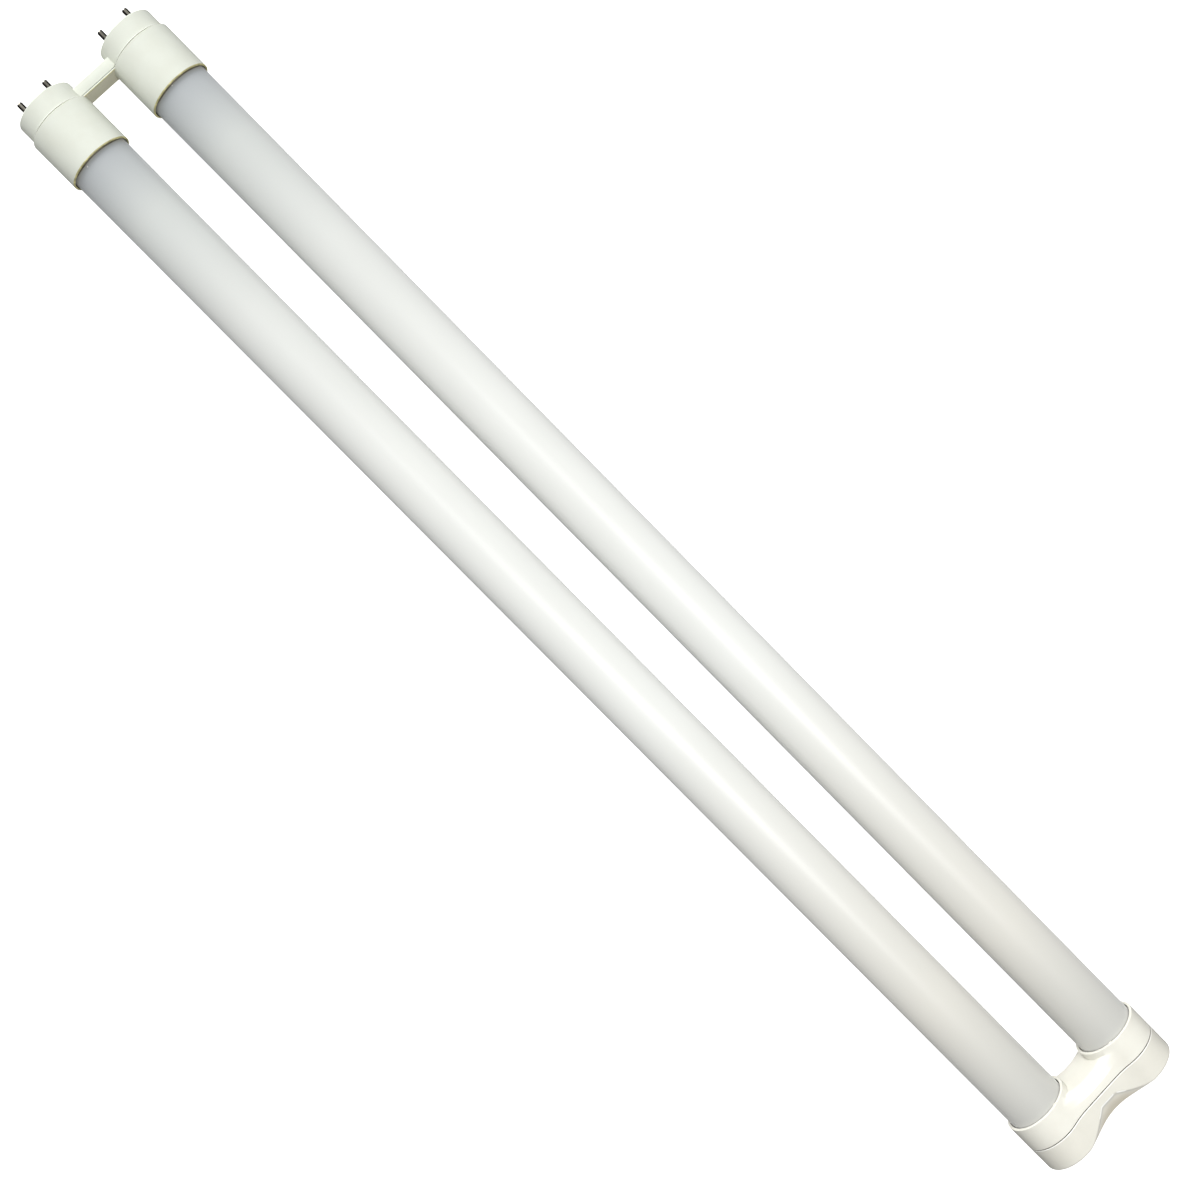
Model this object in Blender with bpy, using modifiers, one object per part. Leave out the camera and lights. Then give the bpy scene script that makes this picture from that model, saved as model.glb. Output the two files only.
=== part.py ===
"""A U-bend LED tube lamp: two frosted T8 legs with bi-pin caps, a bridge between the caps and a
two-part return bend at the other end.

Metres, +Z up. X runs along the legs from the pins to the bend, Y runs from the right leg to the left.
Inside the script every place along the lamp is a station: the distance from the caps' front face.
"""

import math

import bmesh
import bpy
from mathutils import Vector

# Driving sizes of the lamp
LAMP_LENGTH = 0.5715  # caps' front face to the far end of the bend, 22.5 inches
LEG_SPACING = 0.041275  # leg axis to leg axis, 1 5/8 inches
TUBE_RADIUS = 0.0125
TUBE_WALL = 0.0010

# Contact pins, to the G13 pattern
PIN_PITCH = 0.0127
PIN_RADIUS = 0.001175
PIN_PROJECTION = 0.0074
PIN_TIP_ROUND = 0.0008
PIN_FLANGE_RADIUS = 0.0019
PIN_FLANGE_THICKNESS = 0.0008
PIN_TAIL_RADIUS = 0.0009
PIN_TAIL_LENGTH = 0.0023

# Pin cap: the nose
CAP_OVER_TUBE = 0.0001  # the nose stands this proud of the tube
CAP_LENGTH = 0.0085
CAP_WALL = 0.0012
CAP_FRONT_WALL = 0.0016
CAP_EDGE_ROUND = 0.0014
CAP_SPIGOT_LENGTH = 0.0045

# Collar behind the nose
COLLAR_LENGTH = 0.0213
COLLAR_WALL = 0.0007
COLLAR_CLEARANCE = 0.0005  # round the tube, where the seal goes
COLLAR_SPIGOT_CLEARANCE = 0.0017
COLLAR_LEDGE = 0.0016
COLLAR_EDGE_ROUND = 0.0014

# Seal bead at the collar's mouth
SEAL_INSIDE = 0.0030
SEAL_OUTSIDE = 0.0014

# Bridge between the caps
BRIDGE_START = 0.0037
BRIDGE_DEPTH = 0.0052
BRIDGE_HEIGHT = 0.0100
BRIDGE_WALL = 0.0010
BRIDGE_LID = 0.0008
BRIDGE_WINDOW_RADIUS = 0.0024

# Return bend: collar and cover
BEND_SLEEVE_WALL = 0.0012
BEND_WAIST_DROP = 0.0020
BEND_WAIST_FILLET = 0.0250
BEND_COLLAR_LENGTH = 0.0113
BEND_COVER_LENGTH = 0.0116
BEND_WEB_SETBACK = 0.0043
BEND_WEB_HOLLOW_RADIUS = 0.0300
BEND_WALL = 0.0014
BEND_LEDGE = 0.0012
BEND_LEDGE_BEARING = 0.0008
BEND_LEDGE_RECESS = 0.0020
BEND_EDGE_BEVEL = 0.0007
BEND_END_WALL = 0.0018
BEND_LIP_WALL = 0.0010
BEND_LIP_REACH = 0.0021
BEND_LIP_FLANGE = 0.0010

# Faceted scoop in the cover's waist, above and below
SCOOP_LENGTH = 0.0082
SCOOP_END_HALF_HEIGHT = 0.0051
SCOOP_FRONT_HALF_WIDTH = 0.0038
SCOOP_END_HALF_WIDTH = 0.0042
SCOOP_SIDE_RUN = 0.0027
SCOOP_SIDE_SPREAD = 0.0039
SCOOP_OVERRUN = 0.0035  # the cutter runs this far past the cover

# Gasket between each tube's end and the bend collar's ledge
GASKET_THICKNESS = 0.0006

# LED boards and their carriers
CARRIER_PLATE_TOP = -0.0015
CARRIER_THICKNESS = 0.0012
CARRIER_FLANGE_DROP = 0.0055
CARRIER_END_GAP = 0.0020
CARRIER_HOLE_RADIUS = 0.0010
OUTPUT_HOLE_RUN = 0.0060  # behind the driver board's far end
OUTPUT_HOLE_MARGIN = 0.0025  # beside the LED board
BOARD_WIDTH = 0.0120
BOARD_THICKNESS = 0.0010
BOARD_END_GAP = 0.0010
LED_PITCH = 0.0120
LED_LENGTH = 0.0035
LED_WIDTH = 0.0028
LED_HEIGHT = 0.0008

# Driver, in the left leg behind its cap
DRIVER_START = 0.0220
DRIVER_LENGTH = 0.0880
DRIVER_BOARD_THICKNESS = 0.0010
SLEEVE_WALL = 0.0003
SLEEVE_OVERHANG = 0.0010
TRANSFORMER_LENGTH = 0.0120
TRANSFORMER_WIDTH = 0.0090
RECTIFIER_SIZE = (0.0050, 0.0040, 0.0016)
CAPACITOR_RADIUS = 0.0019
CAPACITOR_LENGTH = 0.0120
FUSE_RADIUS = 0.0012
FUSE_LENGTH = 0.0070
CHOKE_RADIUS = 0.0030
CHOKE_HEIGHT = 0.0032
CHOKE_WINDING_RADIUS = 0.00255
CHOKE_WINDING_HEIGHT = 0.00192

# Where the driver's components start, from the driver board's near end
FUSE_PLACE = 0.0040
RECTIFIER_PLACE = 0.0180
CAPACITOR_PLACE = 0.0300
TRANSFORMER_PLACE = 0.0500
CHOKE_PLACE = 0.0720

# Wires
LEAD_RADIUS = 0.00050
LEAD_SPREAD = 0.0010

# Fits
GAP = 0.0003  # between pieces that touch
PIN_FIT = 0.0001  # pin in its hole
SEAL_FIT = 0.00012  # seal on its tube and in its collar
BOARD_FIT = 0.0001  # board on its carrier
LOBE_GUARD = 0.00005  # keeps the web's cut off the lobes' surface

# Facets
ROUND_STEPS = 48
PIN_STEPS = 16
SMALL_STEPS = 12
EDGE_STEPS = 3
LOBE_STEPS = 24
FILLET_STEPS = 4
ARC_STEPS = 6
PATH_STEPS = 3

# Places worked out from the sizes above
LEG_OFFSET = LEG_SPACING / 2
CAP_RADIUS = TUBE_RADIUS + CAP_OVER_TUBE
COLLAR_BORE = TUBE_RADIUS + COLLAR_CLEARANCE
COLLAR_RADIUS = COLLAR_BORE + COLLAR_WALL
COLLAR_START = CAP_LENGTH
COLLAR_END = COLLAR_START + COLLAR_LENGTH
SPIGOT_RADIUS = COLLAR_BORE - COLLAR_SPIGOT_CLEARANCE
SPIGOT_BORE = SPIGOT_RADIUS - CAP_WALL
SPIGOT_END = CAP_LENGTH + CAP_SPIGOT_LENGTH
TUBE_START = SPIGOT_END + GAP
TUBE_BORE = TUBE_RADIUS - TUBE_WALL
BEND_END = LAMP_LENGTH
COVER_START = BEND_END - BEND_COVER_LENGTH
BEND_SEAM = COVER_START - GAP
BEND_START = BEND_SEAM - BEND_COLLAR_LENGTH
BEND_BORE = TUBE_RADIUS + GAP
BEND_LOBE_RADIUS = BEND_BORE + BEND_SLEEVE_WALL
BEND_WAIST_HALF_HEIGHT = BEND_LOBE_RADIUS - BEND_WAIST_DROP
BEND_THROAT_RADIUS = TUBE_RADIUS - BEND_LEDGE_BEARING
BEND_PASSAGE_HALF_HEIGHT = SCOOP_END_HALF_HEIGHT - BEND_END_WALL
SCOOP_DEPTH = BEND_WAIST_HALF_HEIGHT - SCOOP_END_HALF_HEIGHT
LEDGE_START = BEND_SEAM - BEND_LEDGE_RECESS - BEND_LEDGE
GASKET_END = LEDGE_START - GAP
GASKET_START = GASKET_END - GASKET_THICKNESS
TUBE_END = GASKET_START - GAP
CARRIER_START = TUBE_START + CARRIER_END_GAP
CARRIER_END = TUBE_END - CARRIER_END_GAP
CARRIER_RADIUS = TUBE_BORE - GAP
BOARD_START = CARRIER_START + BOARD_END_GAP
BOARD_END = CARRIER_END - BOARD_END_GAP
BOARD_BOTTOM = CARRIER_PLATE_TOP + BOARD_FIT
BOARD_TOP = BOARD_BOTTOM + BOARD_THICKNESS
CARRIER_PLATE_BOTTOM = CARRIER_PLATE_TOP - CARRIER_THICKNESS
SLEEVE_TOP = CARRIER_PLATE_BOTTOM - GAP
SLEEVE_RADIUS = CARRIER_RADIUS - CARRIER_THICKNESS - GAP
DRIVER_BOARD_TOP = SLEEVE_TOP - SLEEVE_WALL - GAP
DRIVER_BOARD_BOTTOM = DRIVER_BOARD_TOP - DRIVER_BOARD_THICKNESS
DRIVER_BOARD_MIDDLE = (DRIVER_BOARD_TOP + DRIVER_BOARD_BOTTOM) / 2
DRIVER_SPACE_RADIUS = SLEEVE_RADIUS - SLEEVE_WALL - GAP
DRIVER_BOARD_HALF_WIDTH = math.sqrt(DRIVER_SPACE_RADIUS ** 2 - DRIVER_BOARD_BOTTOM ** 2)
DRIVER_END = DRIVER_START + DRIVER_LENGTH
COMPONENT_TOP = DRIVER_BOARD_BOTTOM - GAP
BRIDGE_WINDOW_STATION = BRIDGE_START + BRIDGE_WALL + (BRIDGE_DEPTH - BRIDGE_WALL - BRIDGE_LID) / 2
OUTPUT_HOLE_STATION = DRIVER_END + OUTPUT_HOLE_RUN
OUTPUT_HOLE_OFFSET = BOARD_WIDTH / 2 + OUTPUT_HOLE_MARGIN
TRANSFORMER_HEIGHT = COMPONENT_TOP + math.sqrt(DRIVER_SPACE_RADIUS ** 2 - TRANSFORMER_WIDTH ** 2 / 4)


# ---------------------------------------------------------------- helpers


def clear_scene():
    for obj in list(bpy.data.objects):
        bpy.data.objects.remove(obj, do_unlink=True)


def new_collection(name):
    collection = bpy.data.collections.new(name)
    bpy.context.scene.collection.children.link(collection)
    return collection


def new_empty(name, parent, location):
    empty = bpy.data.objects.new(name, None)
    PARTS.objects.link(empty)
    empty.parent = parent
    empty.location = location
    return empty


def material(name, colour, roughness, metallic=0.0):
    made = bpy.data.materials.new(name)
    made.use_nodes = True
    shader = made.node_tree.nodes["Principled BSDF"]
    shader.inputs["Base Color"].default_value = (*colour, 1.0)
    shader.inputs["Roughness"].default_value = roughness
    shader.inputs["Metallic"].default_value = metallic
    return made


def place(obj, parent, location=(0, 0, 0), rotation=(0, 0, 0)):
    """Puts an object under its parent, in the parts collection."""
    PARTS.objects.link(obj)
    obj.parent = parent
    obj.location = location
    obj.rotation_euler = rotation
    return obj


def as_cutter(obj):
    """Turns a piece into a helper that only shapes other pieces."""
    PARTS.objects.unlink(obj)
    CUTTERS.objects.link(obj)
    obj.hide_render = True
    obj.display_type = "WIRE"
    return obj


def boolean(obj, other, operation="DIFFERENCE", solver="EXACT"):
    modifier = obj.modifiers.new(operation.lower(), "BOOLEAN")
    modifier.object = other
    modifier.operation = operation
    modifier.solver = solver


ALONG_LAMP = (0, math.pi / 2, 0)  # an object's own Z turned to run along the lamp
OUTLINE_ACROSS_LAMP = (math.pi / 2, 0, math.pi / 2)  # own X and Y become the lamp's Y and Z


def turned(name, profile, parent, finish, steps=ROUND_STEPS, location=(0, 0, 0), closed=True,
           rotation=ALONG_LAMP):
    """A profile of (radius, station) points, swept round the station axis. The profile runs down its
    outer side from the highest station. A closed one is a ring, an open one ends on the axis."""
    mesh = bpy.data.meshes.new(name)
    count = len(profile)
    edges = [(i, i + 1) for i in range(count - 1)]
    if closed:
        edges.append((count - 1, 0))
    mesh.from_pydata([(radius, 0, station) for radius, station in profile], edges, [])
    mesh.materials.append(finish)
    obj = place(bpy.data.objects.new(name, mesh), parent, location, rotation)
    screw = obj.modifiers.new("turn", "SCREW")
    screw.axis = "Z"
    screw.angle = math.tau
    screw.steps = steps
    screw.render_steps = steps
    screw.use_merge_vertices = True
    screw.merge_threshold = 0.00001
    screw.use_smooth_shade = True
    return obj


def ring_profile(outer, inner, start, end):
    return [(outer, end), (outer, start), (inner, start), (inner, end)]


def rounded_front(radius, start, edge):
    """Points of a quarter round from a cylinder's side into its front face."""
    points = []
    for i in range(EDGE_STEPS + 1):
        angle = math.pi / 2 * i / EDGE_STEPS
        points.append((radius - edge + edge * math.cos(angle), start + edge - edge * math.sin(angle)))
    return points


def rod(name, radius, start, end, parent, finish, steps=ROUND_STEPS, across=(0, 0)):
    """A plain cylinder along the lamp."""
    profile = [(0, end), (radius, end), (radius, start), (0, start)]
    return turned(name, profile, parent, finish, steps, (0, *across), closed=False)


def block(name, low, high, parent, finish):
    """A box between two corners."""
    mesh = bpy.data.meshes.new(name)
    shape = bmesh.new()
    bmesh.ops.create_cube(shape, size=1)
    size = Vector(high) - Vector(low)
    bmesh.ops.scale(shape, vec=size, verts=shape.verts)
    shape.to_mesh(mesh)
    shape.free()
    mesh.materials.append(finish)
    return place(bpy.data.objects.new(name, mesh), parent, (Vector(low) + Vector(high)) / 2)


def extruded(name, outlines, start, end, parent, finish):
    """Closed outlines across the lamp, extruded along it and made one welded mesh. Inner outlines
    are holes."""
    curve = bpy.data.curves.new(name, "CURVE")
    curve.dimensions = "2D"
    curve.fill_mode = "BOTH"
    curve.extrude = (end - start) / 2
    for outline in outlines:
        spline = curve.splines.new("POLY")
        spline.points.add(len(outline) - 1)
        spline.use_cyclic_u = True
        for point, (across, up) in zip(spline.points, outline):
            point.co = (across, up, 0, 1)
    guide = bpy.data.objects.new(name + "_guide", curve)
    PARTS.objects.link(guide)
    graph = bpy.context.evaluated_depsgraph_get()
    mesh = bpy.data.meshes.new_from_object(guide.evaluated_get(graph))
    bpy.data.objects.remove(guide)
    bpy.data.curves.remove(curve)
    shape = bmesh.new()
    shape.from_mesh(mesh)
    bmesh.ops.remove_doubles(shape, verts=shape.verts, dist=0.000001)
    bmesh.ops.recalc_face_normals(shape, faces=shape.faces)
    shape.to_mesh(mesh)
    shape.free()
    mesh.name = name
    mesh.materials.clear()
    mesh.materials.append(finish)
    obj = bpy.data.objects.new(name, mesh)
    return place(obj, parent, ((start + end) / 2, 0, 0), OUTLINE_ACROSS_LAMP)


def arc(centre, radius, first, last, steps):
    """Points on an arc between two angles, both ends included."""
    points = []
    for i in range(steps + 1):
        angle = first + (last - first) * i / steps
        points.append((centre[0] + radius * math.cos(angle), centre[1] + radius * math.sin(angle)))
    return points


def smooth_path(route):
    """A Catmull-Rom curve through a route's points."""
    points = [Vector(p) for p in route]
    points = [2 * points[0] - points[1], *points, 2 * points[-1] - points[-2]]
    path = []
    for a, b, c, d in zip(points, points[1:], points[2:], points[3:]):
        for i in range(PATH_STEPS):
            t = i / PATH_STEPS
            path.append(((2 * b) + (c - a) * t + (2 * a - 5 * b + 4 * c - d) * t * t
                         + (3 * b - a - 3 * c + d) * t ** 3) / 2)
    path.append(points[-2])
    return path


def wire(name, route, finish):
    """An insulated wire along a route in the lamp's own frame."""
    curve = bpy.data.curves.new(name, "CURVE")
    curve.dimensions = "3D"
    curve.bevel_depth = LEAD_RADIUS
    curve.bevel_resolution = 2
    curve.use_fill_caps = True
    path = smooth_path(route)
    spline = curve.splines.new("POLY")
    spline.points.add(len(path) - 1)
    for point, place_on_path in zip(spline.points, path):
        point.co = (*place_on_path, 1)
    curve.materials.append(finish)
    return place(bpy.data.objects.new(name, curve), LAMP)


# ---------------------------------------------------------------- legs


def make_tube(side, leg):
    profile = ring_profile(TUBE_RADIUS, TUBE_BORE, TUBE_START, TUBE_END)
    turned("diffuser_tube_" + side, profile, leg, FROSTED)


def make_cap(side, leg):
    """A cup with a rounded front, pin holes, a spigot for the collar and a window to the bridge."""
    bore = CAP_RADIUS - CAP_WALL
    profile = [
        (SPIGOT_RADIUS, SPIGOT_END),
        (SPIGOT_RADIUS, CAP_LENGTH - GAP),
        (CAP_RADIUS, CAP_LENGTH - GAP),
        *rounded_front(CAP_RADIUS, 0, CAP_EDGE_ROUND),
        (0, 0),
        (0, CAP_FRONT_WALL),
        (bore, CAP_FRONT_WALL),
        (bore, CAP_LENGTH - GAP - CAP_WALL),
        (SPIGOT_BORE, CAP_LENGTH - GAP),
        (SPIGOT_BORE, SPIGOT_END),
    ]
    cap = turned("pin_cap_" + side, profile, leg, CAP_WHITE)
    for index, offset in enumerate((-PIN_PITCH / 2, PIN_PITCH / 2)):
        name = f"cutter_pin_hole_{side}_{index}"
        hole = rod(name, PIN_RADIUS + PIN_FIT, -CAP_FRONT_WALL, 2 * CAP_FRONT_WALL, leg, CAP_WHITE,
                   PIN_STEPS, (offset, 0))
        boolean(cap, as_cutter(hole))
    boolean(cap, BRIDGE_WINDOW)


def make_collar(side, leg):
    """The sleeve that joins cap and tube, with a ledge that takes the cap's spigot."""
    ledge_bore = SPIGOT_RADIUS + GAP
    profile = [
        (COLLAR_RADIUS, COLLAR_END),
        *rounded_front(COLLAR_RADIUS, COLLAR_START, COLLAR_EDGE_ROUND),
        (ledge_bore, COLLAR_START),
        (ledge_bore, COLLAR_START + COLLAR_LEDGE),
        (COLLAR_BORE, COLLAR_START + COLLAR_LEDGE),
        (COLLAR_BORE, COLLAR_END),
    ]
    turned("cap_collar_" + side, profile, leg, CAP_WHITE)


def make_pin(name, leg, offset):
    """A contact: rounded tip, shank through the front wall, flange behind it and a soldering tail."""
    flange_start = CAP_FRONT_WALL + GAP
    flange_end = flange_start + PIN_FLANGE_THICKNESS
    tail_end = flange_end + PIN_TAIL_LENGTH
    profile = [
        (0, tail_end),
        (PIN_TAIL_RADIUS, tail_end),
        (PIN_TAIL_RADIUS, flange_end),
        (PIN_FLANGE_RADIUS, flange_end),
        (PIN_FLANGE_RADIUS, flange_start),
        (PIN_RADIUS, flange_start),
        *rounded_front(PIN_RADIUS, -PIN_PROJECTION, PIN_TIP_ROUND),
        (0, -PIN_PROJECTION),
    ]
    turned(name, profile, leg, PIN_METAL, PIN_STEPS, (0, offset, 0), closed=False)
    return tail_end


def make_seal(side, leg):
    """A thin bead around the tube, mostly inside the collar's mouth."""
    profile = ring_profile(COLLAR_BORE - SEAL_FIT, TUBE_RADIUS + SEAL_FIT, COLLAR_END - SEAL_INSIDE,
                           COLLAR_END + SEAL_OUTSIDE)
    turned("cap_seal_" + side, profile, leg, SEALANT)


def make_gasket(side, leg):
    profile = ring_profile(TUBE_RADIUS, TUBE_BORE, GASKET_START, GASKET_END)
    turned("bend_gasket_" + side, profile, leg, GASKET_FOAM)


def carrier_outline():
    """A flat plate with two flanges that follow the tube's bore downwards."""
    inner_radius = CARRIER_RADIUS - CARRIER_THICKNESS
    top_angle = math.asin(CARRIER_PLATE_TOP / CARRIER_RADIUS)
    flange_bottom = CARRIER_PLATE_TOP - CARRIER_FLANGE_DROP
    outer_angle = math.asin(flange_bottom / CARRIER_RADIUS)
    inner_end = math.asin(flange_bottom / inner_radius)
    inner_top = math.asin(CARRIER_PLATE_BOTTOM / inner_radius)
    right_side = arc((0, 0), CARRIER_RADIUS, top_angle, outer_angle, ARC_STEPS)
    right_side += arc((0, 0), inner_radius, inner_end, inner_top, ARC_STEPS)
    left_side = [(-across, up) for across, up in reversed(right_side)]
    return right_side + left_side


def make_carrier(side, leg):
    outline = carrier_outline()
    carrier = extruded("board_carrier_" + side, [outline], CARRIER_START, CARRIER_END, leg, ALUMINIUM)
    if side == "left":
        for index, offset in enumerate((-OUTPUT_HOLE_OFFSET, OUTPUT_HOLE_OFFSET)):
            reach = 2 * CARRIER_THICKNESS
            profile = [(0, reach), (CARRIER_HOLE_RADIUS, reach), (CARRIER_HOLE_RADIUS, -reach), (0, -reach)]
            location = (OUTPUT_HOLE_STATION, offset, CARRIER_PLATE_TOP)
            hole = turned(f"cutter_output_hole_{index}", profile, leg, ALUMINIUM, SMALL_STEPS, location,
                          closed=False, rotation=(0, 0, 0))
            boolean(carrier, as_cutter(hole))


def make_led_board(side, leg):
    """The board and its row of LED packages, soldered into one piece."""
    board = block("led_board_" + side, (BOARD_START, -BOARD_WIDTH / 2, BOARD_BOTTOM),
                  (BOARD_END, BOARD_WIDTH / 2, BOARD_TOP), leg, BOARD_WHITE)
    count = int((BOARD_END - BOARD_START) / LED_PITCH)
    first = (BOARD_START + BOARD_END - (count - 1) * LED_PITCH) / 2
    mesh = bpy.data.meshes.new("cutter_led_row_" + side)
    shape = bmesh.new()
    for i in range(count):
        made = bmesh.ops.create_cube(shape, size=1)["verts"]
        bmesh.ops.scale(shape, vec=(LED_LENGTH, LED_WIDTH, LED_HEIGHT + BOARD_THICKNESS / 2), verts=made)
        centre = BOARD_TOP + (LED_HEIGHT - BOARD_THICKNESS / 2) / 2
        bmesh.ops.translate(shape, vec=(first + i * LED_PITCH, 0, centre), verts=made)
    shape.to_mesh(mesh)
    shape.free()
    row = place(bpy.data.objects.new("cutter_led_row_" + side, mesh), leg)
    boolean(board, as_cutter(row), "UNION")


# ---------------------------------------------------------------- bridge


def make_bridge():
    """A duct between the caps, closed on the bend side by a lid. Its ends follow caps and collars."""
    half = BRIDGE_HEIGHT / 2
    split = BRIDGE_START + BRIDGE_DEPTH - BRIDGE_LID
    duct = block("bridge_duct", (BRIDGE_START, -LEG_OFFSET, -half), (split - GAP / 2, LEG_OFFSET, half),
                 LAMP, CAP_WHITE)
    channel = block("cutter_bridge_channel", (BRIDGE_START + BRIDGE_WALL, -LEG_SPACING, BRIDGE_WALL - half),
                    (split + GAP, LEG_SPACING, half - BRIDGE_WALL), LAMP, CAP_WHITE)
    boolean(duct, as_cutter(channel))
    lid = block("bridge_lid", (split + GAP / 2, -LEG_OFFSET, -half),
                (split + BRIDGE_LID, LEG_OFFSET, half), LAMP, CAP_WHITE)
    for side, leg in LEGS.items():
        around_cap = rod("cutter_bridge_cap_" + side, CAP_RADIUS + GAP, -CAP_LENGTH, 2 * CAP_LENGTH, leg,
                         CAP_WHITE)
        around_collar = rod("cutter_bridge_collar_" + side, COLLAR_RADIUS + GAP, COLLAR_START - GAP,
                            COLLAR_END, leg, CAP_WHITE)
        for cutter in (around_cap, around_collar):
            as_cutter(cutter)
            boolean(duct, cutter)
            boolean(lid, cutter)


def make_bridge_window():
    """The cutter that opens both caps towards the bridge, for the right cap's leads."""
    reach = LEG_OFFSET - SPIGOT_BORE + CAP_WALL
    profile = [(0, reach), (BRIDGE_WINDOW_RADIUS, reach), (BRIDGE_WINDOW_RADIUS, -reach), (0, -reach)]
    window = turned("cutter_bridge_window", profile, LAMP, CAP_WHITE, SMALL_STEPS,
                    (BRIDGE_WINDOW_STATION, 0, 0), closed=False, rotation=(math.pi / 2, 0, 0))
    return as_cutter(window)


# ---------------------------------------------------------------- return bend


def bend_boolean(obj, other, operation="DIFFERENCE"):
    """The bend's many cuts nearly meet each other, which the exact solver leaves open at some sizes."""
    boolean(obj, other, operation, "MANIFOLD")


def bend_outline(inset=0.0):
    """Two lobes round the legs, joined by a waist with filleted shoulders."""
    lobe = BEND_LOBE_RADIUS - inset
    waist = BEND_WAIST_HALF_HEIGHT - inset
    fillet = BEND_WAIST_FILLET + inset
    reach = math.sqrt((lobe + fillet) ** 2 - (waist + fillet) ** 2)
    fillet_centre = (LEG_OFFSET - reach, waist + fillet)
    meeting = math.atan2(fillet_centre[1], fillet_centre[0] - LEG_OFFSET)
    # The left half of the upper side, from the lobe's outermost point to the waist, seen from +X
    quarter = arc((LEG_OFFSET, 0), lobe, 0, meeting, LOBE_STEPS // 2)
    quarter += arc(fillet_centre, fillet, meeting - math.pi, -math.pi / 2, FILLET_STEPS)[1:]
    upper = quarter + [(-across, up) for across, up in reversed(quarter)]
    return upper + [(across, -up) for across, up in reversed(upper[1:-1])]


def make_bend_collar():
    """Takes both tubes against its ledges. Its web is set back from the lobes' rims and hollow."""
    collar = extruded("bend_collar", [bend_outline()], BEND_START, BEND_SEAM, LAMP, BEND_CREAM)
    web_front = BEND_START + BEND_WEB_SETBACK
    height = 2 * BEND_LOBE_RADIUS
    radius = BEND_WEB_HOLLOW_RADIUS
    profile = [(0, height), (radius, height), (radius, -height), (0, -height)]
    hollow = turned("cutter_web_front", profile, LAMP, BEND_CREAM, 2 * ROUND_STEPS,
                    (web_front - radius, 0, 0), closed=False, rotation=(0, 0, 0))
    as_cutter(hollow)
    for side, leg in LEGS.items():
        guard = rod("cutter_lobe_guard_" + side, BEND_LOBE_RADIUS + LOBE_GUARD, 0, BEND_END, leg,
                    BEND_CREAM)
        bend_boolean(hollow, as_cutter(guard))
    bend_boolean(collar, hollow)
    inside = BEND_WAIST_HALF_HEIGHT - BEND_WALL
    ledge_end = LEDGE_START + BEND_LEDGE
    cavity = block("cutter_web_cavity", (web_front + BEND_WALL, -LEG_OFFSET + BEND_BORE + GAP, -inside),
                   (COVER_START, LEG_OFFSET - BEND_BORE - GAP, inside), LAMP, BEND_CREAM)
    passage = block("cutter_web_passage", (ledge_end, -LEG_OFFSET / 2, -inside / 2),
                    (COVER_START, LEG_OFFSET / 2, inside / 2), LAMP, BEND_CREAM)
    bend_boolean(collar, as_cutter(cavity))
    bend_boolean(collar, as_cutter(passage))
    for side, leg in LEGS.items():
        bore = rod("cutter_bend_bore_" + side, BEND_BORE, TUBE_END - COLLAR_LENGTH, LEDGE_START, leg,
                   BEND_CREAM)
        throat = rod("cutter_bend_throat_" + side, BEND_THROAT_RADIUS, TUBE_END, COVER_START, leg,
                     BEND_CREAM)
        bend_boolean(collar, as_cutter(bore))
        bend_boolean(collar, as_cutter(throat))


def scoop_cutter(name, upside):
    """The space above three facets: one that slopes down to the cover's end, and one each side."""
    start = BEND_END - SCOOP_LENGTH
    top = BEND_WAIST_HALF_HEIGHT + SCOOP_OVERRUN
    slope = Vector((SCOOP_LENGTH, SCOOP_END_HALF_WIDTH - SCOOP_FRONT_HALF_WIDTH, -SCOOP_DEPTH))
    corner = Vector((start, SCOOP_FRONT_HALF_WIDTH, BEND_WAIST_HALF_HEIGHT))
    high = corner - slope * (SCOOP_OVERRUN / SCOOP_DEPTH)
    low = corner + slope * (1 + SCOOP_OVERRUN / SCOOP_LENGTH)
    normal = slope.cross(Vector((SCOOP_SIDE_RUN, SCOOP_SIDE_SPREAD, 0)))
    far_x = low.x
    far_y = corner.y - (normal.x * (far_x - corner.x) + normal.z * (top - corner.z)) / normal.y
    corners = [high, low, Vector((far_x, far_y, top))]
    mesh = bpy.data.meshes.new(name)
    shape = bmesh.new()
    for point in corners:
        for side in (-1, 1):
            shape.verts.new((point.x, side * point.y, upside * point.z))
    bmesh.ops.convex_hull(shape, input=shape.verts)
    bmesh.ops.recalc_face_normals(shape, faces=shape.faces)
    shape.to_mesh(mesh)
    shape.free()
    return as_cutter(place(bpy.data.objects.new(name, mesh), LAMP))


def bevel_far_edge(obj):
    """A small bevel round the outline at the object's far end."""
    mesh = obj.data
    far = max(vertex.co.z for vertex in mesh.vertices)
    weights = mesh.attributes.new("bevel_weight_edge", "FLOAT", "EDGE")
    shape = bmesh.new()
    shape.from_mesh(mesh)
    for edge in shape.edges:
        at_end = all(abs(vertex.co.z - far) < 1e-6 for vertex in edge.verts)
        on_rim = any(abs(face.normal.z) < 0.5 for face in edge.link_faces)
        weights.data[edge.index].value = 1.0 if at_end and on_rim else 0.0
    shape.free()
    bevel = obj.modifiers.new("end_edge", "BEVEL")
    bevel.limit_method = "WEIGHT"
    bevel.width = BEND_EDGE_BEVEL
    bevel.segments = 2


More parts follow.
